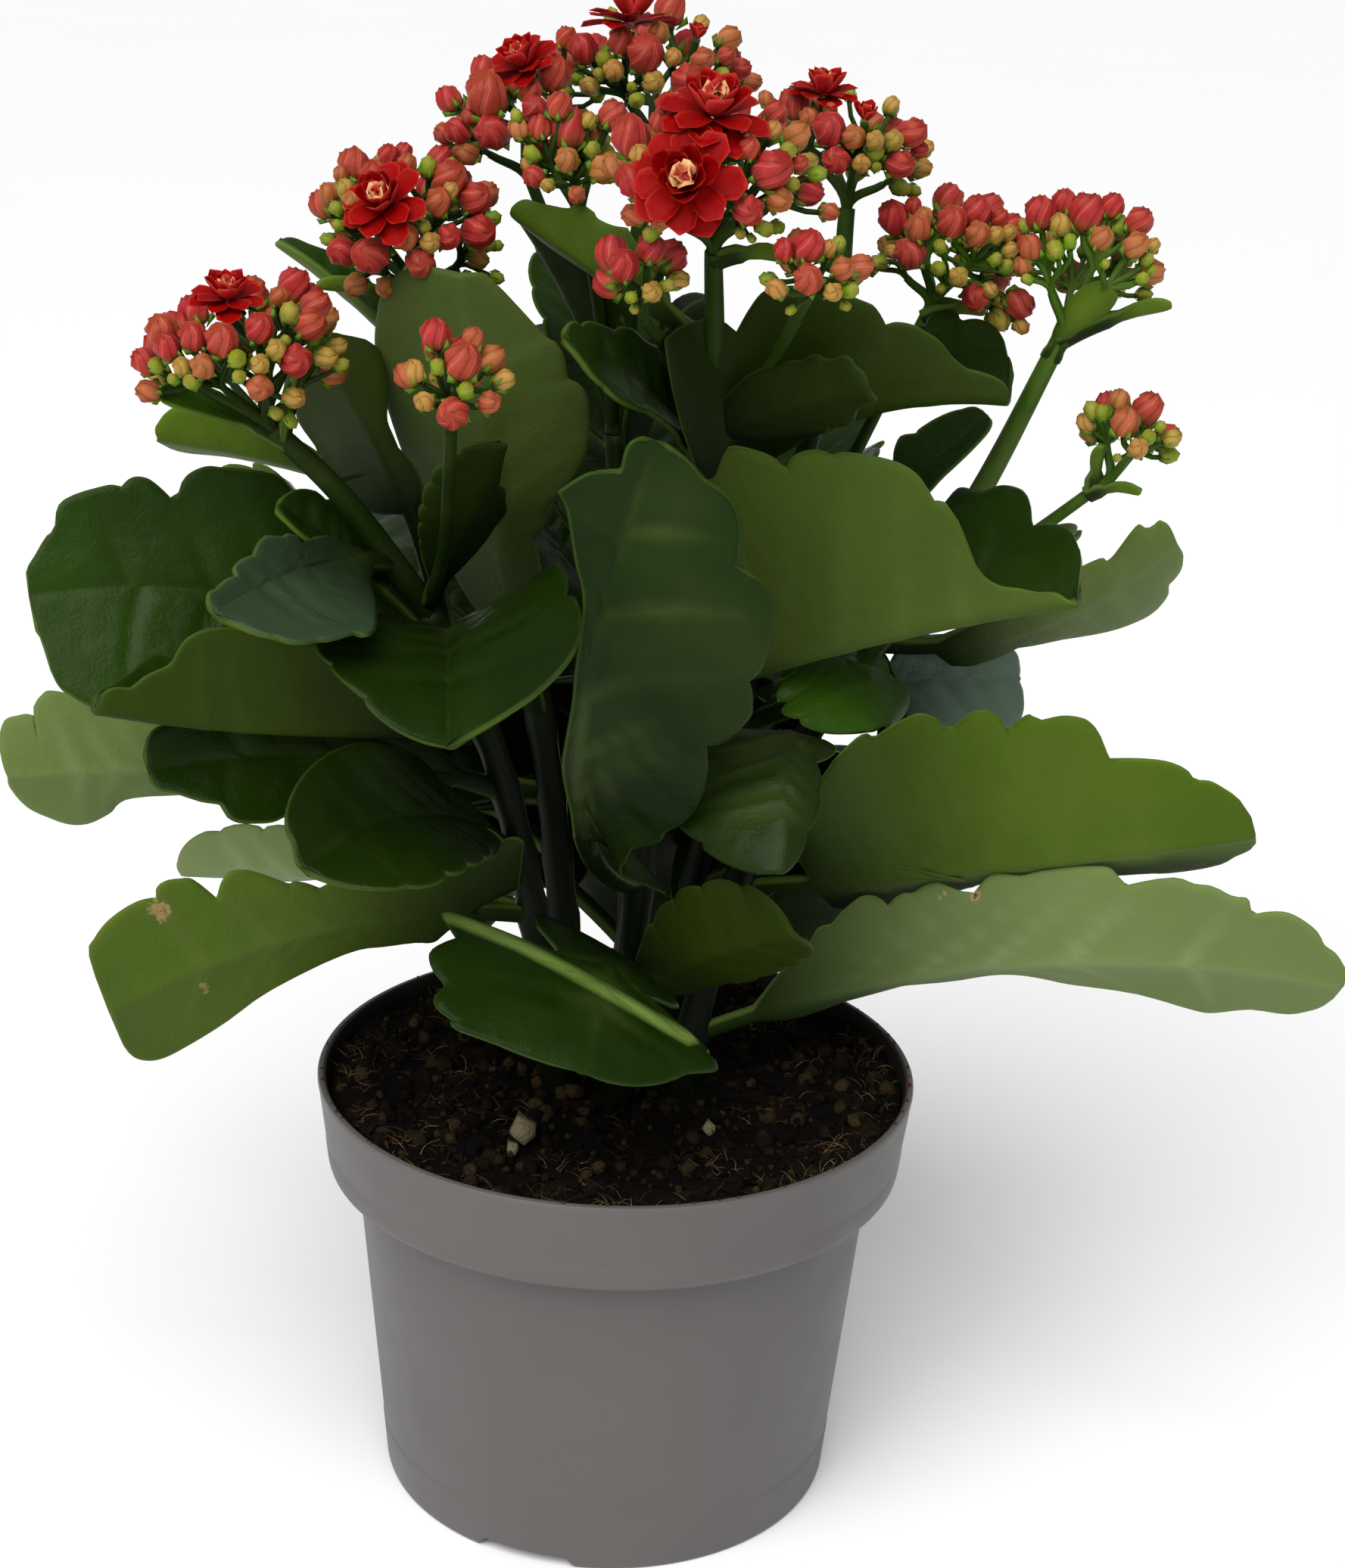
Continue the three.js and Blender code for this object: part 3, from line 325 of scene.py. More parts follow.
MARGINS = read_margins("""
front_big 1: 728 1159 736 1169 753 1165 / 761 1170 776 1167 800 1167 815 1155 825 1136 / 832 1122 842 1123 858 1120
    872 1111 / 879 1099 899 1089 916 1074 928 1052 933 1031 934 1010 / 932 987 949 985 965 977 980 961 992 946
    995 932 994 915 / 990 901 1002 891 1013 870 1022 816 1013 775 1000 762 986 755 / 972 750 976 742 980 722 981 699
    976 676 967 660 955 648 945 643 / 934 645 921 623 895 598 885 585 872 575 862 573
front_big 0: 745 1014 759 973 784 932 792 891 788 837 778 788 763 746 749 676 738 655 / 736 649 771 628 792 624
    817 625 829 629 / 838 634 844 627 852 585
right_centre_big 1: 919 620 930 605 950 594 972 590 1000 594 1018 601 1031 611 / 1038 621 1043 610 1053 599 1070 593
    1085 595 / 1100 599 1115 596 1150 600 1172 606 1195 614 1212 627 1224 642 / 1228 661 1247 662 1257 675 1269 695
    1282 735 1292 755 1305 772 1322 786 1345 796 1370 800 1392 796
right_centre_big 0: 1225 690 1258 650 1272 644 1288 648 / 1300 649 1320 642 1340 644 1355 652 1362 667 1363 682 /
    1357 702 1372 696 1392 693 1407 697 1417 707 1423 725 1421 740 1407 778
right_mid 1: 1100 1002 1129 974 1144 967 / 1154 974 1169 962 1204 945 1219 944 1232 947 1244 957 / 1250 972 1279 945
    1299 940 1314 945 1324 952 / 1330 965 1356 945 1366 946 / 1376 950 1403 945 1423 946 1438 952 1451 967 1457 984
    / 1466 1001 1528 1003 1553 1009 1570 1019 / 1578 1032 1598 1033 1618 1044 1652 1079 1656 1092
right_mid 0: 1300 1128 1360 1138 1503 1149 1543 1150 1613 1139 1632 1126 1650 1109
right_low 1: 1052 1258 1067 1248 1080 1226 1097 1221 / 1102 1216 1110 1206 1134 1186 1149 1182 1162 1186 / 1173 1196
    1184 1185 1197 1179 1207 1179 1219 1170 1239 1165 1266 1176 / 1287 1179 1304 1158 1319 1153 1349 1156 1378 1150
    1448 1145 1468 1149 1478 1161 / 1489 1171 1550 1160 1578 1168 1603 1171 1628 1183 1647 1185 1652 1194 /
    1654 1209 1677 1204 1702 1205 1727 1219 1742 1234 1750 1251 1765 1263 1772 1281
right_low 0: 1110 1312 1240 1286 1308 1265 1349 1276 1378 1289 1418 1301 1503 1311 1578 1333 1603 1337 1652 1332
    1702 1340 1727 1336 1747 1328 1767 1313
right_pale 1: 1417 756 1455 740 / 1465 746 1475 736 1500 697 1507 694 / 1517 702 1527 694 1537 690 1555 692
right_pale 0: 1340 843 1400 841 1485 824 1515 812 1531 800 1541 785 / 1537 774 1557 740 1561 725
right_back_small 0: 1182 610 1182 595 1190 577 1210 574 / 1211 572 1220 565 1260 546 1275 544 1300 550
right_back_small 1: 1227 645 1245 620 1285 580 1297 562
right_back_big 1: 878 450 892 435 910 426 940 421 955 424 / 973 438 995 399 1010 383 1035 376 1090 380 1146 399
    1157 407 / 1170 430 1185 426 1207 431 1224 440 1242 453 1259 477 1277 495
right_back_big 0: 1223 429 1229 416 1246 408 1257 407 1266 414 / 1269 423 1290 421 1312 429 1323 442 1329 456 /
    1328 469 1336 477 1340 495 1338 521
right_small_dark 1: 1060 478 1078 469 1089 475 / 1102 477 1119 471 1126 477 / 1124 488 1139 495 1152 506
right_small_dark 0: 1052 580 1091 574 / 1097 563 1119 561 1130 552 / 1132 537 1146 528
upper_centre 1: 893 490 875 463 852 453 835 436 / 817 434 809 442 776 429 / 769 442 756 442
upper_centre 0: 857 547 831 543 809 530 / 796 517 782 510 769 499 / 765 486 752 473
top_bright 0: 831 300 811 297 791 289 / 786 280 765 267 755 272 / 750 277 712 270 686 268
top_bright 1: 809 381 791 368 778 355 712 311 686 289
left_upper_round 1: 386 649 364 627 300 617 277 616 262 619 249 627 240 638 236 651 / 233 666 210 642 195 632
    180 630 169 634 / 161 643 146 640 127 644 86 659 75 672 73 689 / 78 702 62 709 47 739 40 760
left_upper_round 0: 160 945 98 923 81 912 69 895 65 880 69 865 / 81 857 60 849 50 837 / 51 826 43 809
front_low 1: 800 1296 767 1277 740 1258 685 1241 657 1225 622 1217 597 1207 580 1208 / 600 1241 569 1255 567 1269 /
    573 1285 586 1302 575 1313 573 1330 586 1343 / 602 1346 594 1357 600 1365 630 1371
front_low 0: 834 1316 850 1318 858 1332 900 1351 / 911 1369 933 1373 941 1384 / 935 1393 948 1404 941 1418 905 1420
left_mid_folded 1: 350 853 300 848 262 852 236 862 / 233 875 222 868 205 866 190 872 / 176 888 145 915
left_mid_folded 0: 350 835 319 829 296 828 270 831 249 842 238 856 233 869 / 233 878 199 893 184 906 184 919 131 927
left_small_front 1: 397 724 392 711 379 707 371 711 352 709 341 719 / 336 737 319 743 311 754 / 319 767 300 773 /
    291 784 283 797
left_small_front 0: 497 835 487 844 / 476 839 439 849 / 427 846 405 852 382 852 / 375 844 349 847 326 841 / 322 830
    307 829 291 822
left_cup 0: 743 749 752 770 / 750 787 758 787 765 800 768 826 766 847 760 864 748 883 718 919 705 930 / 699 932
    686 949 673 960 / 663 957 652 970 637 977 / 626 972 618 977 605 980
left_tall 1: 520 560 500 490 497 456 499 413 503 392 516 371 533 356 550 351 567 351 588 355
left_tall 0: 707 732 703 711 718 694 720 673 756 634 777 596 779 545 776 524 767 509 / 752 500 749 494 745 469
    733 450 716 441 652 379 631 369 617 368
left_back_dark 0: 450 622 482 592 499 562 507 532 497 458 450 446
dark_narrow 0: 677 698 677 677 671 664 669 647 / 656 639 658 609 648 590
left_lower 1: 240 950 221 959 199 977 194 992
left_lower 0: 379 1077 360 1086 337 1088 315 1087 302 1079 / 296 1066 289 1060 266 1055 229 1039 210 1026
left_lower_small 1: 379 1067 377 1086 381 1101 / 403 1114 407 1131
left_low 0: 696 1112 682 1105 / 666 1109 657 1101 641 1093 624 1096 612 1107 / 605 1113 602 1105 575 1111 553 1122 /
    531 1134 514 1133 501 1142 476 1147 437 1169 / 424 1178 404 1169 388 1167 380 1169 333 1152 311 1151 300 1156
    292 1170 / 288 1189 256 1163 239 1161 217 1164 206 1175 / 208 1185 184 1189 162 1200 140 1219 124 1241 117 1263
    124 1324
left_low 1: 578 1247 547 1245 498 1250 454 1258 355 1306 300 1349 245 1384 215 1400 190 1402 168 1390 154 1376
    155 1362
far_left_pale 0: 122 931 97 919 66 912 56 917 47 931 / 51 949 36 944 21 947 4 962 1 974 / 4 983 1 996
far_left_pale 1: 240 1046 176 1052 157 1060 148 1071 135 1079 116 1086 90 1087 64 1079 37 1064 15 1043
centre_right_small 0: 1120 843 1154 862 1172 875 / 1172 895 1194 912 1199 925
centre_right_dark 0: 1072 1009 1082 1032 / 1077 1049 1080 1064 1072 1087 / 1060 1099 1057 1119
right_blue 0: 1180 885 1202 835 1230 842 1300 846 1322 860 1335 885
back_left_oval 0: 248 528 215 556
back_left_oval 1: 356 604 300 598 236 599 217 591
back_left_high 1: 455 345 437 333 407 325 390 317 372 315
back_left_high 0: 477 447 463 413 440 387 417 363 372 331
""")


# Making meshes and materials


def store(mesh, name, numbers, kind="FLOAT"):
    """Keeps numbers at a mesh's points, under a name that the materials and trees read."""
    field = "vector" if kind == "FLOAT_VECTOR" else "value"
    numbers = np.asarray(numbers, np.int32 if kind == "INT" else np.float32)
    mesh.attributes.new(name, kind, "POINT").data.foreach_set(field, numbers.ravel())


def make_mesh(name, points, faces, finish=None, values=None):
    """A smooth mesh object from points in millimetres, with named numbers at its points."""
    mesh = bpy.data.meshes.new(name)
    mesh.from_pydata((np.asarray(points) * MM).tolist(), [], [list(map(int, face)) for face in faces])
    for key, numbers in (values or {}).items():
        store(mesh, key, numbers)
    if finish:
        mesh.materials.append(finish)
    mesh.polygons.foreach_set("use_smooth", [True] * len(mesh.polygons))
    mesh.update()
    return new_object(name, mesh)


def ring(radius, z, sides):
    """Points on a level circle round the Z axis."""
    angles = [j * 2 * math.pi / sides for j in range(sides)]
    return [(radius * math.cos(angle), radius * math.sin(angle), z) for angle in angles]


def lathe_faces(rings, sides, inward=False):
    """The faces over a first point, so many rings of points and a last point."""
    faces = []
    for j in range(sides):
        k = (j + 1) % sides
        faces.append((0, 1 + k, 1 + j))
        for a in range(1, 1 + (rings - 1) * sides, sides):
            faces.append((a + j, a + k, a + sides + k, a + sides + j))
        last = 1 + (rings - 1) * sides
        faces.append((last + sides, last + j, last + k))
    return [face[:1] + face[:0:-1] for face in faces] if inward else faces


def stand_for(piece, slot, *nodes):
    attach(piece, "root")
    if nodes:
        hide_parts(*nodes)


class Nodes:
    """A node tree that is built by short calls."""

    def __init__(self, tree):
        self.tree = tree

    def add(self, kind, inputs=None, **settings):
        """A new node; an input is a number or the socket that it takes its value from."""
        node = self.tree.nodes.new(kind)
        for key, value in settings.items():
            setattr(node, key, value)
        for key, value in (inputs or {}).items():
            if isinstance(value, bpy.types.NodeSocket):
                self.tree.links.new(value, node.inputs[key])
            else:
                node.inputs[key].default_value = value
        return node

    def value(self, name):
        return self.add("ShaderNodeAttribute", attribute_name=name).outputs["Fac"]

    def axes(self, place):
        return self.add("ShaderNodeSeparateXYZ", {0: place}).outputs

    def math(self, operation, a, b):
        return self.add("ShaderNodeMath", {0: a, 1: b}, operation=operation).outputs[0]

    def times(self, a, b):
        return self.math("MULTIPLY", a, b)

    def plus(self, a, b):
        return self.math("ADD", a, b)

    def blend(self, share, a, b, kind="MIX"):
        return self.add("ShaderNodeMix", {0: share, 6: a, 7: b}, data_type="RGBA", blend_type=kind).outputs[2]

    def shaded(self, colour, shade):
        grey = self.add("ShaderNodeCombineColor", {0: shade, 1: shade, 2: shade}).outputs[0]
        return self.blend(1.0, colour, grey, "MULTIPLY")

    def ramp(self, value, low, high, start=0.0, end=1.0):
        ends = {"From Min": low, "From Max": high, "To Min": start, "To Max": end}
        return self.add("ShaderNodeMapRange", {"Value": value, **ends}, clamp=True).outputs["Result"]

    def noise(self, where, scale, detail=3.0, roughness=0.5):
        inputs = {"Vector": where, "Scale": scale, "Detail": detail, "Roughness": roughness}
        return self.add("ShaderNodeTexNoise", inputs).outputs["Fac"]


def srgb(red, green, blue):
    """A colour from 0 to 255 as linear numbers."""
    def linear(c):
        c /= 255
        return c / 12.92 if c <= 0.04045 else ((c + 0.055) / 1.055) ** 2.4
    return (linear(red), linear(green), linear(blue), 1.0)


def new_material(name, **constants):
    """A material with its shader, and the nodes to build on."""
    material = bpy.data.materials.new(name)
    material.use_nodes = True
    shader = material.node_tree.nodes["Principled BSDF"]
    for key, value in constants.items():
        shader.inputs[key.replace("_", " ")].default_value = value
    nodes = Nodes(material.node_tree)
    place = nodes.add("ShaderNodeTexCoord").outputs["Object"]
    return material, nodes, shader, place


def connect(nodes, shader, colour, roughness=None, height=None, strength=0.3, depth=0.0003):
    """Gives the shader its colour, and its roughness and relief where there are any."""
    nodes.tree.links.new(colour, shader.inputs["Base Color"])
    if roughness is not None:
        nodes.tree.links.new(roughness, shader.inputs["Roughness"])
    if height is not None:
        bump = nodes.add("ShaderNodeBump", {"Height": height, "Strength": strength, "Distance": depth})
        nodes.tree.links.new(bump.outputs["Normal"], shader.inputs["Normal"])


# Pot

POT_HEIGHT = 88.0
RIM_RADIUS = 60.0
RIM_THICKNESS = 1.6
COLLAR_BOTTOM = 70.0
COLLAR_RADIUS = 58.0
SHOULDER_RADIUS = 52.4
FOOT_RADIUS = 46.0
WALL = 1.3
PAD_RADIUS = 14.0
RING_RADIUS = 39.0
FLOOR_LIFT = 2.4
DRAIN_HOLES = 6
DRAIN_RADIUS = 3.0
DRAIN_CIRCLE = 27.0
NOTCHES = 3
NOTCH_WIDTH = 20.0
NOTCH_SLOPE = 1.5
NOTCH_AZIMUTH = -109.5
POT_SIDES = 144
DRAIN_SIDES = 24
FOOT_BAND = 10.0
COLLAR_LINE = 4.6
CRISP_TURN = math.radians(38)


def wall_radius(z):
    return FOOT_RADIUS + (SHOULDER_RADIUS - FOOT_RADIUS) * z / COLLAR_BOTTOM


def collar_radius(z):
    return COLLAR_RADIUS + (RIM_RADIUS - COLLAR_RADIUS) * (z - COLLAR_BOTTOM) / (POT_HEIGHT - COLLAR_BOTTOM)


def pot_material():
    material, nodes, shader, place = new_material("pot_plastic_grey", IOR=1.46)
    axes = nodes.axes(place)
    grey = nodes.blend(nodes.noise(place, 22.0), srgb(80, 77, 76), srgb(90, 87, 85))
    smear = nodes.ramp(nodes.noise(place, 38.0, 6.0, 0.7), 0.60, 0.78)
    grey = nodes.blend(nodes.times(smear, 0.25), grey, srgb(84, 80, 74))
    specks = nodes.ramp(nodes.noise(place, 900.0, 2.0), 0.735, 0.77)
    near_rim = nodes.ramp(axes["Z"], 0.060, 0.088, 0.25, 0.9)
    grey = nodes.blend(nodes.times(specks, near_rim), grey, srgb(84, 52, 36))
    # The inner side of the collar, darkened nearly to black as painted shade inside the rim
    flat = nodes.add("ShaderNodeCombineXYZ", {"X": axes["X"], "Y": axes["Y"]}).outputs[0]
    radius = nodes.add("ShaderNodeVectorMath", {0: flat}, operation="LENGTH").outputs["Value"]
    outer = nodes.ramp(axes["Z"], COLLAR_BOTTOM * MM, POT_HEIGHT * MM, COLLAR_RADIUS * MM, RIM_RADIUS * MM)
    depth = nodes.ramp(nodes.math("SUBTRACT", outer, radius), 0.0009, 0.0013, 0.0, 0.9)
    rim_inner_shade = nodes.times(depth, nodes.ramp(axes["Z"], 0.0715, 0.073))
    grey = nodes.blend(rim_inner_shade, grey, srgb(22, 18, 14))
    rough = nodes.ramp(nodes.noise(place, 60.0, 5.0), 0.3, 0.7, 0.42, 0.54)
    connect(nodes, shader, grey, rough, nodes.noise(place, 2600.0, 2.0), 0.12, 0.0001)
    return material


def add_pot(finish):
    band, line, step = FOOT_BAND, COLLAR_BOTTOM + COLLAR_LINE, COLLAR_BOTTOM - WALL
    inner_rim = RIM_RADIUS - RIM_THICKNESS
    floor = FLOOR_LIFT + WALL
    profile = [
        (PAD_RADIUS, 0), (PAD_RADIUS + FLOOR_LIFT, FLOOR_LIFT), (RING_RADIUS, FLOOR_LIFT),
        (RING_RADIUS + FLOOR_LIFT, 0), (FOOT_RADIUS - 0.9, 0), (FOOT_RADIUS - 0.4, 0.12),
        (FOOT_RADIUS - 0.08, 0.45), (wall_radius(1), 1),
        (wall_radius(band - 0.5) + 0.02, band - 0.5), (wall_radius(band), band),
        (wall_radius(band + 0.4) - 0.14, band + 0.4), (wall_radius(band + 1.5) - 0.12, band + 1.5),
        (wall_radius(40) - 0.05, 40), (wall_radius(step - 4), step - 4),
        (wall_radius(step) - 0.1, step - 0.7), (wall_radius(step) + 0.35, step + 0.1),
        (COLLAR_RADIUS - 1.6, step + 0.5), (COLLAR_RADIUS - 0.6, step + 0.75), (COLLAR_RADIUS - 0.12, COLLAR_BOTTOM),
        (collar_radius(COLLAR_BOTTOM + 0.8), COLLAR_BOTTOM + 0.8), (collar_radius(line - 0.3), line - 0.3),
        (collar_radius(line) - 0.12, line), (collar_radius(line + 0.5) - 0.12, line + 0.5),
        (collar_radius(84), 84), (collar_radius(86.2), 86.2), (RIM_RADIUS, 87.0), (RIM_RADIUS, POT_HEIGHT - 0.5),
        (RIM_RADIUS - 0.2, POT_HEIGHT - 0.12), (RIM_RADIUS - 0.6, POT_HEIGHT), (inner_rim + 0.4, POT_HEIGHT),
        (inner_rim, POT_HEIGHT - 0.4), (COLLAR_RADIUS - WALL, COLLAR_BOTTOM + WALL),
        (wall_radius(COLLAR_BOTTOM) - WALL, COLLAR_BOTTOM), (wall_radius(floor) - WALL, floor),
        (PAD_RADIUS + FLOOR_LIFT - WALL, floor), (PAD_RADIUS - WALL, WALL),
    ]
    points = [(0, 0, 0), *(point for radius, z in profile for point in ring(radius, z, POT_SIDES)), (0, 0, WALL)]
    pot = make_mesh("pot_shell", points, lathe_faces(len(profile), POT_SIDES), finish)
    cutters = [drain_cutter(i) for i in range(DRAIN_HOLES)] + [notch_cutter(i) for i in range(NOTCHES)]
    for cutter in cutters:
        cut = pot.modifiers.new("cut", "BOOLEAN")
        cut.object, cut.operation, cut.solver = cutter, "DIFFERENCE", "EXACT"
    cut_pot = settle(pot, "pot_plastic")
    for cutter in cutters:
        bpy.data.objects.remove(cutter)
    cut_pot.data.set_sharp_from_angle(angle=CRISP_TURN)
    stand_for(cut_pot, "pot_plastic", "pot")


def settle(piece, name):
    """The piece with its modifiers worked out, as a plain mesh of that name."""
    bpy.context.view_layer.update()
    source = piece.evaluated_get(bpy.context.evaluated_depsgraph_get())
    mesh = bpy.data.meshes.new_from_object(source)
    piece.modifiers.clear()
    bpy.data.objects.remove(piece)
    mesh.name = name
    return new_object(name, mesh)


def prism(name, outline, low, high):
    """A closed prism from an outline in X and Z, between two Y values."""
    n = len(outline)
    points = [(x, y, z) for y in (low, high) for x, z in outline]
    faces = [tuple(range(n)), tuple(range(2 * n - 1, n - 1, -1))]
    faces += [(i, i + n, (i + 1) % n + n, (i + 1) % n) for i in range(n)]
    return make_mesh(name, points, faces)


def turn_points(piece, degrees, shift=(0, 0, 0)):
    piece.data.transform(Matrix.Rotation(math.radians(degrees), 4, "Z") @ Matrix.Translation(Vector(shift) * MM))


def drain_cutter(i):
    outline = [(x, z) for x, z, _ in ring(DRAIN_RADIUS, 0, DRAIN_SIDES)]
    cutter = prism("drain", outline, -2 * FLOOR_LIFT, 2 * FLOOR_LIFT)
    cutter.data.transform(Matrix.Rotation(math.radians(90), 4, "X"))
    turn_points(cutter, (i + 0.5) * 360 / DRAIN_HOLES, (DRAIN_CIRCLE, 0, FLOOR_LIFT))
    return cutter


def notch_cutter(i):
    half = NOTCH_WIDTH / 2
    outline = [
        (-half - NOTCH_SLOPE, -1), (half + NOTCH_SLOPE, -1),
        (half - NOTCH_SLOPE, FLOOR_LIFT), (-half + NOTCH_SLOPE, FLOOR_LIFT),
    ]
    cutter = prism("notch", outline, RING_RADIUS - 1, FOOT_RADIUS + 3)
    turn_points(cutter, -90 + NOTCH_AZIMUTH + i * 360 / NOTCHES)
    return cutter


# Soil

SOIL_EDGE = 84.6
SOIL_CROWN = 86.5
SOIL_RADIUS = 57.3
SOIL_GAP = 0.3
SOIL_RINGS = 44
SOIL_SIDES = 132


def soil_material():
    material, nodes, shader, place = new_material("peat_dark", Roughness=0.95, Specular_IOR_Level=0.1)
    lumps = nodes.noise(place, 260.0, 6.0, 0.65)
    grit = nodes.noise(place, 1300.0, 3.0, 0.6)
    dark = nodes.blend(lumps, srgb(2, 1, 1), srgb(15, 11, 6))
    moss = nodes.ramp(nodes.noise(place, 120.0, 4.0, 0.6), 0.52, 0.66)
    dark = nodes.blend(nodes.times(moss, 0.3), dark, srgb(46, 30, 14))
    light = nodes.blend(nodes.noise(place, 600.0), srgb(98, 66, 30), srgb(178, 150, 98))
    for tone, colour in (("ochre", light), ("stone", srgb(122, 112, 86)), ("rust", srgb(92, 34, 20))):
        dark = nodes.blend(nodes.value(tone), dark, colour)
    connect(nodes, shader, dark, None, nodes.plus(grit, lumps), 0.8, 0.0012)
    return material


def soil_height(x, y):
    share = min(1.0, math.hypot(x, y) / SOIL_RADIUS)
    level = SOIL_CROWN + (SOIL_EDGE - SOIL_CROWN) * share ** 2
    lumps = noise.fractal(Vector((x * 0.11, y * 0.11, 3.7)), 0.9, 2.1, 4)
    fine = noise.fractal(Vector((x * 0.5, y * 0.5, 8.1)), 0.8, 2.2, 3)
    hollow = 1.6 * math.exp(-((x + 6) ** 2 + (y + 22) ** 2) / 260)
    return level + 1.5 * lumps + 0.5 * fine - hollow


def add_soil(finish):
    inside = WALL + SOIL_GAP
    collar, floor = COLLAR_BOTTOM + inside, FLOOR_LIFT + inside
    below = [
        (COLLAR_RADIUS - inside, collar), (wall_radius(COLLAR_BOTTOM) - inside, collar),
        (wall_radius(floor) - inside, floor), (PAD_RADIUS + FLOOR_LIFT - inside, floor),
        (PAD_RADIUS - inside, inside),
    ]
    points = [(0, 0, soil_height(0, 0))]
    for i in range(1, SOIL_RINGS + 1):
        points += [(x, y, soil_height(x, y)) for x, y, _ in ring(SOIL_RADIUS * i / SOIL_RINGS, 0, SOIL_SIDES)]
    for radius, z in below:
        points += ring(radius, z, SOIL_SIDES)
    faces = lathe_faces(SOIL_RINGS + len(below), SOIL_SIDES, inward=True)
    soil = make_mesh("peat_bed", [*points, (0, 0, inside)], faces, finish)
    stand_for(soil, "peat", "soil")


def clod_shape(seed):
    """A rough crumb, one unit wide."""
    rng = np.random.default_rng(seed)
    points, rings = [(0, 0, -0.42)], ((0.40, -0.25), (0.50, 0.08), (0.30, 0.34))
    for radius, z in rings:
        spin = rng.uniform(0, 1)
        for j in range(CLOD_SIDES):
            angle = (j + spin) * 2 * math.pi / CLOD_SIDES
            reach = radius * rng.uniform(0.5, 1.3)
            points.append((reach * math.cos(angle), reach * math.sin(angle), z + rng.uniform(-0.14, 0.14)))
    points.append((0, 0, 0.42))
    return points, lathe_faces(len(rings), CLOD_SIDES), {}


def fibre_shape(bend, lift):
    """A thin bent strand, one unit long, that starts at the origin."""
    t = np.linspace(0, 1, 6)
    path = np.stack([t, bend * np.sin(math.pi * t), lift * np.sin(math.pi * t * 0.9)], -1)
    return *tube_mesh(path, FIBRE_RADIUS * (1.15 - t), 3), {}


CRUMB_SEED = 41
CLOD_SEEDS = (3, 4, 5)
CLOD_SIDES = 6
FIBRE_RADIUS = 0.028
CRUMBS = 1500
STRANDS = 2300
RIM_CRUMBS = 46
STONES = [(688, 1507, 6.5), (676, 1524, 3.0), (935, 1498, 3.4)]


def on_soil(x, y):
    """Where the line of sight through a point of the photograph meets the soil."""
    line = sight_line(x, y)
    height = SOIL_EDGE
    for _ in range(5):
        place = CAMERA_PLACE + line * (height - CAMERA_PLACE[2]) / line[2]
        height = soil_height(place[0], place[1])
    return place


def add_crumbs(finish):
    """Crumbs, stones and strands on the soil, and rusty crumbs on the rim; each row ends with its three tones."""
    rng = np.random.default_rng(CRUMB_SEED)
    repeat = repeat_tree("repeat_crumbs")

    def any_turn():
        return rng.uniform(0, 6.28, 3)

    def add_rows(rows, kind, shapes):
        group = make_shapes(f"{kind}_shapes", shapes)
        piece = repeat_shapes(repeat, rows, ("ochre", "stone", "rust"), f"peat_{kind}s", group, finish)
        stand_for(piece, "peat", "soil")
        drop_shapes(group)

    rows = []
    for _ in range(CRUMBS):
        radius = SOIL_RADIUS * 0.985 * math.sqrt(rng.uniform(0, 1))
        angle = rng.uniform(0, 2 * math.pi)
        x, y = radius * math.cos(angle), radius * math.sin(angle)
        size = rng.uniform(0.8, 1.8) if rng.uniform() < 0.8 else rng.uniform(1.8, 4.2)
        size = min(size, 2 * (SOIL_RADIUS + 0.6 - radius))
        place = (x, y, soil_height(x, y) + 0.18 * size)
        rows.append((place, any_turn(), size, rng.integers(0, 3), rng.uniform(0, 0.5) ** 3, 0, 0))
    for x, y, size in STONES:
        rows.append((on_soil(x, y) + 0.3 * size * UP, rng.uniform(0, 0.5, 3), size, 1, 0, 1, 0))
    radius = RIM_RADIUS - RIM_THICKNESS / 2
    for _ in range(RIM_CRUMBS):
        angle = rng.uniform(0, 2 * math.pi)
        size = rng.uniform(0.3, 0.8)
        place = (radius * math.cos(angle), radius * math.sin(angle), POT_HEIGHT + 0.3 * size)
        rows.append((place, any_turn(), size, rng.integers(0, 3), 0, 0, 1))
    add_rows(rows, "crumb", [clod_shape(seed) for seed in CLOD_SEEDS])

    rows = []
    for _ in range(STRANDS):
        share = rng.uniform(0.05, 1) ** 0.42
        angle = rng.uniform(0, 2 * math.pi)
        size = rng.uniform(1.4, 4.6)
        radius = min(SOIL_RADIUS * share, SOIL_RADIUS - 0.75 * size)
        x, y = radius * math.cos(angle), radius * math.sin(angle)
        tuft = 2.6 * noise.noise(Vector((x * 0.08, y * 0.08, 5.0))) + 1.5 * share ** 4 - 0.3
        turn = (rng.uniform(-0.5, 0.5), rng.uniform(-0.7, 0.0), rng.uniform(0, 6.28))
        kind = rng.integers(0, 3)
        rows.append((
            (x, y, soil_height(x, y) + 0.1), turn, size, kind, rng.uniform(0.05, 1.0) * min(1.0, max(0.0, tuft)), 0, 0,
        ))
    add_rows(rows, "strand", [fibre_shape(0.10, 0.12), fibre_shape(-0.2, 0.06), fibre_shape(0.04, 0.2)])


# Stems: smooth, slightly swollen where a leaf joins


def smooth_path(points, steps):
    """A smooth path through the points, with so many steps for each stretch."""
    points = [np.array(p, float) for p in points]
    padded = [2 * points[0] - points[1], *points, 2 * points[-1] - points[-2]]
    path = []
    for i in range(len(points) - 1):
        a, b, c, d = padded[i:i + 4]
        for t in np.arange(steps) / steps:
            bend, twist = 2 * a - 5 * b + 4 * c - d, 3 * b - a - 3 * c + d
            path.append(0.5 * (2 * b + (c - a) * t + bend * t * t + twist * t ** 3))
    return np.array([*path, points[-1]])


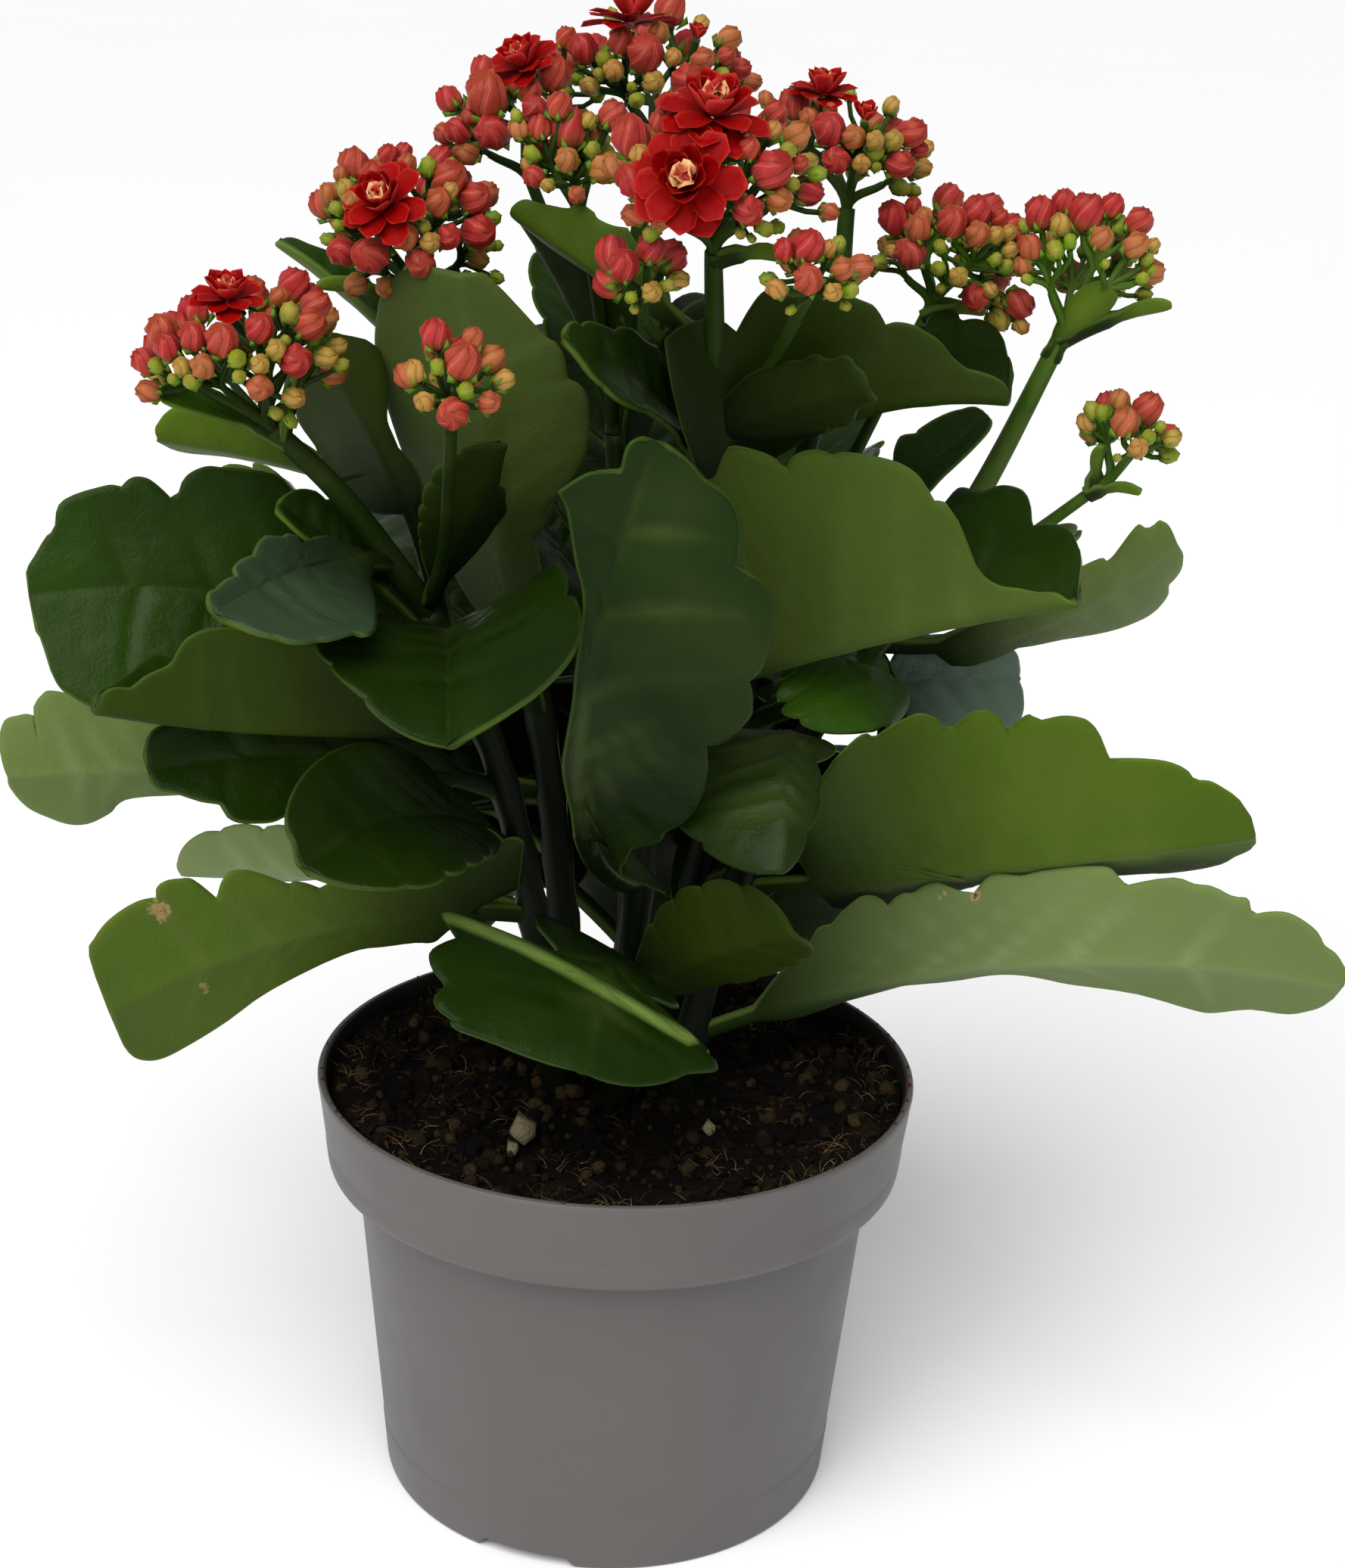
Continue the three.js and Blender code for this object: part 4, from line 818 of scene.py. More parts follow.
def tube_mesh(path, radii, sides):
    """Points and faces of a closed tube round a path."""
    tangents = np.gradient(path, axis=0)
    tangents /= np.linalg.norm(tangents, axis=1, keepdims=True)
    side = unit(np.cross(tangents[0], [0.3, 1.0, 0.2]))
    points, faces = [], []
    for centre, tangent, radius in zip(path, tangents, radii):
        side = unit(side - tangent * (side @ tangent))
        over = np.cross(tangent, side)
        points += [centre + radius * (x * side + y * over) for x, y, _ in ring(1, 0, sides)]
    last = len(points) - sides
    for a in range(0, last, sides):
        b = a + sides
        faces += [(a + j, a + (j + 1) % sides, b + (j + 1) % sides, b + j) for j in range(sides)]
    return points, [*faces, tuple(reversed(range(sides))), tuple(range(last, last + sides))]


def stem_radius(z):
    share = (z - ROOT_DEPTH) / (STEM_TOP_HEIGHT - ROOT_DEPTH)
    return STEM_FOOT_RADIUS + (STEM_TOP_RADIUS - STEM_FOOT_RADIUS) * share


def stem_material():
    material, nodes, shader, place = new_material("stem_green", Roughness=0.5, Specular_IOR_Level=0.12)
    streak = nodes.add("ShaderNodeMapping", {"Vector": place, "Scale": (1.0, 1.0, 0.12)}).outputs[0]
    lines = nodes.noise(streak, 900.0, 3.0)
    green = nodes.blend(lines, srgb(44, 74, 8), srgb(62, 94, 16))
    green = nodes.blend(nodes.ramp(nodes.noise(place, 90.0), 0.45, 0.7), green, srgb(76, 98, 36))
    axes = nodes.axes(place)
    # Painted shade and light: darker low in the plant, in the leaves' shade, and brighter out to the right (+X)
    lit = nodes.ramp(axes["X"], 0.03, 0.06, 0.85, 2.5)
    green = nodes.shaded(green, nodes.times(nodes.ramp(axes["Z"], 0.15, 0.25, 0.05, 0.46), lit))
    connect(nodes, shader, green, None, lines, 0.25, 0.0003)
    return material


def point_on_shoot(name, height, stalk=0):
    shoot = SHOOTS[name]
    points = [np.array(p, float) for p in [*shoot["stem"], *shoot["clusters"][stalk]["path"]]]
    i = next((k for k, p in enumerate(points) if k and p[2] >= height), len(points) - 1)
    low, high = points[i - 1], points[i]
    return low + (high - low) * (height - low[2]) / (high[2] - low[2])


def add_stems(finish):
    for name, shoot in SHOOTS.items():
        joints = [leaf["on"][1] for leaf in LEAVES.values() if leaf["on"][0] == name and len(leaf["on"]) == 2]
        path = smooth_path(shoot["stem"], 16)
        radii = []
        for centre in path:
            swell = sum(math.exp(-((centre[2] - joint) / 3.0) ** 2) for joint in joints)
            radii.append(stem_radius(centre[2]) * (0.94 + 0.16 * min(1.0, swell)))
        stem = make_mesh(f"stalk_{name}", *tube_mesh(path, radii, STEM_SIDES), finish)
        stand_for(stem, "stem", f"stem_{name}")


# Leaves: a bare stalk that opens into a scalloped fleshy blade, with sunken veins


def scalloped(leaf, rng):
    """Places along one half of a blade and how far its margin is cut in there, lobe after lobe."""
    lobes = leaf["lobes"]
    per_lobe = 5 if max(leaf["width"]) < SMALL_BLADE else 7
    opening = np.linspace(0, 1, 8)[1:] ** 2.0
    shift = rng.uniform(-0.16, 0.16, lobes + 1)
    shift[0], shift[-1] = 0, 0
    where = FIRST_LOBE + (1 - FIRST_LOBE) * np.clip((np.arange(lobes + 1) + shift) / lobes, 0, 1) ** (1 / 0.9)
    depth = leaf["notch"] * rng.uniform(0.7, 1.35, lobes + 1)
    depth[0] *= 0.5
    depth[-1] = 0.0
    places, cuts = [np.array([0.0]), opening * FIRST_LOBE], [np.ones(1), np.ones(len(opening))]
    cuts[1][-1] = 1 - depth[0] * 0.5
    for k in range(lobes):
        if k < lobes - 1:
            x = (1 - np.cos(math.pi * np.arange(1, per_lobe + 1) / per_lobe)) / 2
        else:
            x = 1 - (1 - np.arange(1, per_lobe + 4) / (per_lobe + 3)) ** 2.6
        places.append(where[k] + (where[k + 1] - where[k]) * x)
        reach = depth[k] * (1 - x) + depth[k + 1] * x
        cuts.append(1 - reach * (1 - np.abs(np.sin(math.pi * x)) ** 0.45))
    return np.concatenate(places), np.concatenate(cuts)


def fitted(leaf, half, lobes):
    """Places along one half of a blade and cuts there that show its margin where the photograph has it."""
    points = np.concatenate(lobes).astype(float)

    def misfit(v, cut, target):
        seen = to_photo(blade_point(leaf, v, cut, cut, np.ones(v.shape), np.full(v.shape, bool(half)))["place"])
        return ((seen - target) ** 2).sum(-1) + CUT_COST * np.log(cut) ** 2

    # The best places run up the blade in the order of the points: a coarse search first, then a close one
    v, cut = np.meshgrid(np.linspace(0.01, 0.995, 180), np.geomspace(0.3, 2.2, 60), indexing="ij")
    v_near, cut_near = np.meshgrid(np.linspace(-0.005, 0.005, 9), np.geomspace(0.967, 1.034, 7), indexing="ij")
    misses = [misfit(v, cut, point) for point in points]
    rows = np.array([miss.min(1) for miss in misses])
    for i in range(1, len(points)):
        rows[i] += np.minimum.accumulate(rows[i - 1])
    best = [None] * len(points)
    limit = v.shape[0]
    for i in reversed(range(len(points))):
        k = int(np.argmin(rows[i][:limit]))
        j = int(np.argmin(misses[i][k]))
        limit = k + 1
        close_v, close_cut = np.clip(v[k, j] + v_near, 0.006, 0.998), cut[k, j] * cut_near
        near_miss = misfit(close_v, close_cut, points[i])
        place = np.unravel_index(np.argmin(near_miss), near_miss.shape)
        best[i] = (close_v[place], close_cut[place])

    # Each lobe is a smooth stretch up to the notch that parts it from the next
    start = 0
    places, cuts = [0.0], [1.0]
    for lobe in lobes:
        stretch = best[start:start + len(lobe) + 1]
        start += len(lobe)
        if len(stretch) > 1:
            stretch = smooth_path(stretch, 3)[:-1] if start < len(points) else smooth_path(stretch, 3)
        for place, share in stretch:
            places.append(max(float(place), places[-1] + 0.0015))
            cuts.append(float(share))
    first, end = places[1], places[-1]
    lead = [(first * t, cuts[1] * t + 1 - t) for t in (0.25, 0.5, 0.75)]
    tail = [(end + (1 - end) * t, cuts[-1]) for t in (0.4, 0.7, 0.9)] if end < 0.99 else []
    rows = [(0.0, 1.0), *lead, *[(p, c) for p, c in zip(places[1:], cuts[1:]) if p < 0.9985], *tail, (1.0, cuts[-1])]
    return tuple(np.array(column) for column in zip(*rows))


ROW_GAP = 0.0045


def leaf_rows(leaf, rng):
    """Places along the blade, how far each side is cut in there, and the same without the small lobes."""
    sides = []
    for half in (0, 1):
        usual = scalloped(leaf, rng)
        sides.append(fitted(leaf, half, leaf["margins"][half]) if half in leaf["margins"] else usual)
    rows = [0.0]
    for place in np.unique(np.concatenate([side[0] for side in sides])):
        if place - rows[-1] > ROW_GAP and place < 1 - ROW_GAP / 2:
            rows.append(place)
    v = np.array([*rows, 1.0])
    weight = np.exp(-((v[:, None] - v[None, :]) / 0.06) ** 2) * np.gradient(v)[None, :]
    weight /= weight.sum(1, keepdims=True)
    cuts = [np.interp(v, *side) for side in sides]
    return v, cuts, [np.clip(weight @ cut, cut / 1.45, cut / 0.56) for cut in cuts]


def outline(v, full, blunt):
    peak = full / (full + blunt)
    return v ** full * (1 - v) ** blunt / (peak ** full * (1 - peak) ** blunt)


def blade_point(leaf, v, cut, broad, reach, right_half, t=None):
    """Points of a blade's middle surface: at the midrib where reach is 0, at the margin where it is 1."""
    if t is None:
        t = leaf["stalk"] + (1 - leaf["stalk"]) * v
    base = point_on_shoot(*leaf["on"])
    tip = np.array(leaf["tip"], float)
    chord = tip - base
    side = unit(np.cross(chord, UP))
    lift = np.cross(side, chord)
    lift *= 2 * leaf["bow"] / np.linalg.norm(lift)
    near = base + chord / 3 + lift * 2 / 3
    far = tip - chord / 3 + lift * 2 / 3
    if leaf["via"] is not None:
        near = np.array(leaf["via"], float)
        far = near + (tip - near) * 0.67 + lift * 2 / 3
    q = t[..., None]
    rib = (1 - q) ** 3 * base + 3 * q * (1 - q) ** 2 * near + 3 * q * q * (1 - q) * far + q ** 3 * tip
    along = (1 - q) ** 2 * (near - base) + 2 * q * (1 - q) * (far - near) + q * q * (tip - far)
    along /= np.linalg.norm(along, axis=-1, keepdims=True)
    flat = side - along * (along @ side)[..., None]
    flat /= np.linalg.norm(flat, axis=-1, keepdims=True)
    turn = np.radians(leaf["roll"] + leaf["twist"] * (t - 0.4))[..., None]
    right = flat * np.cos(turn) + np.cross(along, flat) * np.sin(turn)
    top = np.cross(right, along)

    def of_half(values):
        return np.where(right_half, values[1], values[0])

    stalk_share = np.clip(1 - 3 * v, 0, 1)
    wide = of_half(leaf["width"]) * of_half([outline(v, *ends) for ends in zip(leaf["full"], leaf["blunt"])])
    bare_width = STALK_HALF_WIDTH * stalk_share ** 0.7
    wide = (wide ** 4 + bare_width ** 4) ** 0.25
    out = wide * broad * (reach - (1 - cut / broad) * reach ** 2)
    edge = of_half(leaf["curl"]) * reach * np.clip(2 * v, 0, 1)
    near_rib = 1 - np.exp(-(out / 1.6) ** 2)
    rise = (of_half(leaf["fold"]) * near_rib * (1 - leaf["open"] * v) + edge) * np.minimum(1, 4 * v)
    rise = np.radians(rise)
    hang = of_half(leaf["ear"]) * reach ** 1.3 * (1 - v) ** 2.5 * (v > 0)
    across = of_half((-1.0, 1.0))
    place = rib + right * (across * out * np.cos(rise))[..., None] + top * (out * np.sin(rise))[..., None]
    place = place - along * hang[..., None]
    return dict(place=place, top=top, wide=wide * broad, out=out, stalk=stalk_share,
                length=np.linalg.norm(chord) * (1 - leaf["stalk"]))


def leaf_sheet(leaf, seed):
    """The middle surface of a leaf as a grid of points, with what its look needs at each."""
    rng = np.random.default_rng(seed)
    half_columns = 7 if max(leaf["width"]) < SMALL_BLADE else 11
    x = np.arange(1, half_columns + 1) / half_columns
    spread = x - 0.72 * np.sin(2 * math.pi * x) / (2 * math.pi)
    s = np.concatenate([-spread[::-1], [0.0], spread])
    rows, cuts, broads = leaf_rows(leaf, rng)
    bare = np.linspace(0, leaf["stalk"], 8)[:-1]
    reach = np.repeat(np.abs(s)[None, :], len(bare) + len(rows), 0)
    right_half = np.repeat((s > 0)[None, :], len(reach), 0)

    def of_rows(stalk_values, blade_values):
        return np.repeat(np.concatenate([stalk_values, blade_values])[:, None], len(s), 1)

    def of_half(values):
        return np.where(right_half, values[1], values[0])

    v = of_rows(0 * bare, rows)
    t = of_rows(bare, leaf["stalk"] + (1 - leaf["stalk"]) * rows)
    cut, broad = (of_half([of_rows(0 * bare + 1, half) for half in halves]) for halves in (cuts, broads))
    sheet = blade_point(leaf, v, cut, broad, reach, right_half, t)
    place, top, wide, out = sheet["place"], sheet["top"], sheet["wide"], sheet["out"]
    stalk_share, length = sheet["stalk"], sheet["length"]

    phases = rng.uniform(0, 2 * math.pi, 4)
    waves = rng.uniform(1.4, 2.2)
    sway = of_half([
        np.sin(2 * math.pi * waves * v + slow) + 0.4 * np.sin(2 * math.pi * 2.7 * v + quick)
        for slow, quick in (phases[2:], phases[:2])
    ])
    calm = of_half([0.3 if half in leaf["margins"] else 1.0 for half in (0, 1)])
    lift_edge = leaf["wave"] * calm * 0.045 * wide * reach ** 2 * sway
    lift_edge = lift_edge * np.clip(3 * v, 0, 1) * np.clip(6 * (1 - v), 0, 1)

    veins = np.zeros_like(v)
    for k, start in enumerate(VEIN_STARTS):
        jitter = rng.uniform(-0.03, 0.03, 2)
        for half in (0, 1):
            line = start + jitter[half] + (0.42 - 0.03 * k) * (1 - start) * reach ** 0.8
            distance = (v - line) * length * 0.7
            mask = (right_half == bool(half)) & (v > 0)
            strength = np.exp(-(distance / (0.8 + 0.5 * (1 - reach))) ** 2) * np.clip(1.0 - reach, 0, 1)
            veins = np.maximum(veins, np.where(mask, strength, 0))
    rib_line = np.exp(-(out / 1.1) ** 2) * np.clip(1.3 - v, 0, 1)
    groove = 0.12 * veins + 0.30 * rib_line
    between = 0.12 * (1 - veins) * np.clip(4 * reach, 0, 1) * np.clip(2.5 * (1 - reach), 0, 1)
    relief = (between - groove) * np.clip(4 * v, 0, 1) * np.clip(wide / 12, 0, 1)

    normal = np.cross(np.gradient(place, axis=1), np.gradient(place, axis=0))
    size = np.linalg.norm(normal, axis=-1, keepdims=True)
    normal = np.where(size > 1e-9, normal / np.maximum(size, 1e-9), top)
    normal[-1] = normal[-2]
    place = place + normal * (lift_edge + relief)[..., None]

    to_margin = wide * (1 - reach)
    rounding = np.sqrt(np.clip(1 - (1 - np.clip(to_margin / 1.5, 0, 1)) ** 2, 0, 1))
    body = STALK_HALF_THICKNESS * np.sqrt(np.clip(1 - reach ** 2, 0, 1)) * stalk_share
    body += BLADE_HALF_THICKNESS * rounding * (1 - stalk_share) * (0.75 + 0.45 * (1 - reach))
    body[:, 0] = body[:, -1] = body[-1] = 0
    veins = np.maximum(veins, rib_line * (v > 0))
    return place, normal, body, dict(margin=to_margin, vein=veins, along=v, stalk=stalk_share)


# Brown hurt spots and reddish stretches of margin: where they show in the photograph and how wide

SORES = {
    "left_low": [(209, 1202, 16), (270, 1305, 8)],
    "right_low": [(1245, 1183, 6), (1288, 1185, 8)],
}
# Painted highlight: the line, in pixels, along which the bent-over crest of a blade is lit
CREST_HIGHLIGHTS = {"front_low": [(590, 1210), (640, 1230), (685, 1248), (740, 1277), (795, 1307), (850, 1338), (915, 1375)]}
RED_MARGINS = {
    "left_tall": [(650, 380, 40), (700, 425, 40), (735, 455, 30)],
    "right_centre_big": [(1290, 750, 30)],
    "left_low": [(125, 1250, 50)],
}


def distance_to_line(places, line):
    """How many pixels places of the photograph lie from a line there, at most FAR."""
    nearest = np.full(len(places), FAR)
    for start, end in zip(np.array(line, float), np.array(line[1:], float)):
        way = end - start
        share = np.clip((places - start) @ way / (way @ way), 0, 1)
        nearest = np.minimum(nearest, np.linalg.norm(places - start - share[:, None] * way, axis=1))
    return nearest


def whole_leaf(**spec):
    """A leaf's numbers with the usual ones filled in; a single number stands for both halves."""
    leaf = {**LEAF_DEFAULTS, **spec}
    for key in ("width", "fold", "curl", "full", "blunt", "ear"):
        if not isinstance(leaf[key], list):
            leaf[key] = [leaf[key]] * 2
    return leaf


def nearness(seen, spots):
    """How near points show to some spots of the photograph, from 0 to 1."""
    near = np.zeros(len(seen))
    for x, y, size in spots:
        near = np.maximum(near, np.exp(-((seen - (x, y)) ** 2).sum(1) / size ** 2))
    return near


def leaf_mesh(name, leaf, seed, finish):
    """A closed leaf: its upper side, and under it a lower side that shares the margin."""
    place, normal, body, looks = leaf_sheet(leaf, seed)
    rows, columns = body.shape
    upper, lower = place + normal * body[..., None], place - normal * body[..., None]
    count = rows - 1
    top_index = np.arange(count * columns).reshape(count, columns)
    low_index = top_index.copy()
    low_index[:, 1:-1] = np.arange(count * (columns - 2)).reshape(count, columns - 2) + count * columns
    tip = 2 * count * (columns - 1)
    points = np.vstack([upper[:-1].reshape(-1, 3), lower[:-1, 1:-1].reshape(-1, 3), place[-1, columns // 2][None]])

    def quad(index, i, j):
        return index[i, j], index[i, j + 1], index[i + 1, j + 1], index[i + 1, j]

    faces = []
    for i in range(count - 1):
        for j in range(columns - 1):
            faces += [quad(top_index, i, j), quad(low_index, i, j)[::-1]]
    for j in range(columns - 1):
        faces.append((top_index[-1, j], top_index[-1, j + 1], tip))
        faces.append((low_index[-1, j + 1], low_index[-1, j], tip))
    faces.append(tuple(top_index[0, ::-1]) + tuple(low_index[0, 1:-1]))

    def of_points(over, under, at_tip):
        return np.concatenate([over[:-1].ravel(), under[:-1, 1:-1].ravel(), [at_tip]])

    up = np.ones((rows, columns))
    up[:, 0] = up[:, -1] = 0.5
    values = {"upper": of_points(up, 0 * up, 0.5)}
    for look, grid in looks.items():
        values[look] = of_points(grid, grid, float(look == "along"))
    for tone in ("fresh", "pale", "blue", "dark"):
        values[tone] = np.full(len(points), leaf[tone])
    seen = to_photo(points)
    values["sore"] = nearness(seen, SORES.get(name, []))
    values["reddish"] = nearness(seen, RED_MARGINS.get(name, []))
    values["crest_highlight"] = distance_to_line(seen, CREST_HIGHLIGHTS.get(name, []))
    return make_mesh(f"blade_{name}", points, faces, finish, values)


def leaf_material():
    material, nodes, shader, place = new_material("leaf_waxy_green", IOR=1.45, Specular_IOR_Level=0.1)
    upper = nodes.ramp(nodes.value("upper"), 0.3, 0.7)
    mottle = nodes.noise(place, 55.0, 4.0)
    fresh, pale, blue, dark = (nodes.value(tone) for tone in ("fresh", "pale", "blue", "dark"))
    veined = nodes.value("vein")
    deep = nodes.blend(mottle, srgb(26, 48, 4), srgb(44, 72, 9))
    deep = nodes.blend(fresh, deep, srgb(52, 92, 6))
    # Painted sheen: the blue share turns the upper side a bluish grey
    deep = nodes.blend(blue, deep, srgb(108, 128, 112))
    under = nodes.blend(mottle, srgb(58, 84, 10), srgb(80, 104, 18))
    under = nodes.blend(pale, under, srgb(110, 126, 78))
    colour = nodes.blend(upper, under, deep)
    cloud = nodes.ramp(nodes.noise(place, 26.0, 3.0), 0.35, 0.7, 0.0, 0.35)
    colour = nodes.blend(cloud, colour, nodes.blend(upper, srgb(92, 112, 34), srgb(20, 36, 12)))
    vein = nodes.times(veined, nodes.ramp(pale, 0.0, 0.8, 0.2, 0.28))
    vein_colour = nodes.blend(upper, nodes.blend(pale, srgb(98, 118, 46), srgb(158, 172, 134)), srgb(48, 74, 20))
    colour = nodes.blend(vein, colour, vein_colour)
    colour = nodes.blend(nodes.ramp(nodes.value("stalk"), 0.1, 1.0), colour, srgb(66, 92, 30))
    # Painted shade: darker towards the stalk end of the blade, and darker all over by the leaf's dark share
    shade = nodes.ramp(nodes.value("along"), 0.0, 0.55, 0.2, 1.0)
    colour = nodes.shaded(colour, nodes.times(shade, nodes.ramp(dark, 0.0, 1.0, 1.0, 0.14)))
    # Painted sheen: pale patches over the veins of the upper side, strongest on the darkest leaves
    patch = nodes.times(nodes.ramp(nodes.noise(place, 34.0, 3.0), 0.46, 0.66, 0.0, 0.55), upper)
    sheen = nodes.times(patch, nodes.ramp(veined, 0.05, 0.7, 0.3, 1.0))
    colour = nodes.blend(nodes.times(sheen, nodes.ramp(dark, 0.3, 0.8)), colour, srgb(64, 80, 34))
    # Painted highlight along the margin, dimmer on the shaded leaves; the reddish stretches are the margin's own
    # colour
    rim = nodes.ramp(nodes.value("margin"), 0.05, 0.5, 0.45, 0.0)
    rim_colour = nodes.blend(dark, srgb(104, 132, 48), srgb(58, 84, 26))
    red_edge = nodes.times(nodes.value("reddish"), nodes.ramp(nodes.noise(place, 90.0), 0.35, 0.6))
    rim_colour = nodes.blend(red_edge, rim_colour, srgb(112, 58, 20))
    colour = nodes.blend(rim, colour, rim_colour)
    # Painted highlight along the crest where the blade bends over
    crest_highlight = nodes.times(nodes.ramp(nodes.value("crest_highlight"), 3.0, 11.0, 0.85, 0.0), upper)
    colour = nodes.blend(crest_highlight, colour, nodes.blend(mottle, srgb(86, 116, 44), srgb(132, 156, 78)))
    hurt = nodes.value("sore")
    ragged = nodes.ramp(nodes.noise(place, 420.0, 4.0, 0.7), 0.38, 0.62, -0.45, 0.35)
    sore = nodes.times(nodes.plus(hurt, ragged), nodes.ramp(hurt, 0.1, 0.4))
    colour = nodes.blend(nodes.ramp(sore, 0.3, 0.6), colour, srgb(142, 122, 78))
    colour = nodes.blend(nodes.ramp(sore, 0.85, 1.1), colour, srgb(74, 48, 28))
    cells = nodes.noise(place, 1500.0, 2.0)
    patches = nodes.noise(place, 160.0, 3.0)
    shine = nodes.ramp(patches, 0.35, 0.7, 0.30, 0.42)
    rough = nodes.add("ShaderNodeMix", {0: upper, 2: 0.55, 3: shine}, data_type="FLOAT").outputs[0]
    height = nodes.plus(nodes.times(cells, 0.3), patches)
    sunk = nodes.times(nodes.times(veined, upper), -1.6)
    quilt = nodes.times(nodes.noise(place, 75.0, 2.0), nodes.plus(upper, 0.3))
    height = nodes.plus(height, nodes.plus(sunk, nodes.times(quilt, 2.6)))
    connect(nodes, shader, colour, rough, height, 0.55, 0.0006)
    return material


def add_leaves(finish):
    for i, (name, spec) in enumerate(LEAVES.items()):
        leaf = whole_leaf(margins=MARGINS.get(name, {}), **spec)
        blade = leaf_mesh(name, leaf, LEAF_SEED + i, finish)
        stand_for(blade, "leaf", f"leaf_{name}")


# Bracts: small plain leaves where the flower stalks part

BRACTS = read_table("""
far_right_big: on far_right 236, tip 84 -15 250, width 3.6 3.8, roll -70, stalk 0.06
far_right_side: on far_right 239, tip 95 -12 247, width 2.2, roll -40, stalk 0.45
far_right_low: on far_right 213 1, tip 84 -16 222, width 1.5, roll 20, stalk 0.2
far_right_out: on far_right 212 1, tip 92 -16 213.5, width 1.6, roll -40, stalk 0.2
left_under: on left 221, tip -82 -37 230, width 3.2 3.4, roll -50, stalk 0.25, fresh 0.5
left_right: on left 222, tip -55 -37 240, width 1.8, roll 30, stalk 0.3, fresh 0.5
mid_left: on mid_left 241, tip -58 -10 245, width 2.0, roll 50, stalk 0.3, fresh 0.4
centre: on centre 256, tip 24 -45 258, width 2.2, roll -40, stalk 0.35, fresh 0.5
right_low: on right 241 1, tip 63 -3 243, width 2.0, roll -40, stalk 0.3, fresh 0.5
""")


# The dark leaves deep in the plant, of which the photograph shows little more than their shade

HEART_LEAVES = read_table("""
rear_left: on back 150, tip -32 58 91, width 21
rear_middle: on back 136, tip 2 62 91, width 21
rear_right: on right 144, tip 36 56 91, width 21
rear_far_right: on right 160, tip 58 40 106, width 19
left: on mid_left 142, tip -42 40 101, width 19
left_high: on mid_left 168, tip -52 34 130, width 19
middle_high: on back 166, tip -16 50 124, width 20
right_high: on back 172, tip 26 46 124, width 20
right_inner: on right 186, tip 50 8 153, width 12 10
""")


# Painted shade: these leaves are darkened all over, to fill the shaded inside of the plant
HEART_USUAL = dict(bow=9, stalk=0.12, full=0.45, fold=8, dark=1.0)


def add_heart_leaves(finish):
    for i, (name, spec) in enumerate(HEART_LEAVES.items()):
        leaf = whole_leaf(**HEART_USUAL, **spec)
        blade = leaf_mesh(f"heart_{name}", leaf, HEART_SEED + i, finish)
        stand_for(blade, "leaf", f"stem_{spec['on'][0]}")


BRACT_USUAL = dict(bow=1.2, lobes=1, notch=0.0, wave=0.4, fresh=0.6)


def add_bracts(finish):
    for i, (name, spec) in enumerate(BRACTS.items()):
        leaf = whole_leaf(**{**BRACT_USUAL, **spec})
        bract = leaf_mesh(f"bract_{name}", leaf, BRACT_SEED + i, finish)
        stand_for(bract, "leaf", f"flowers_{spec['on'][0]}")


# Flower clusters
# Buds as read from the photograph: x, y, width and stage, from g for green over y, m and r to o for opening

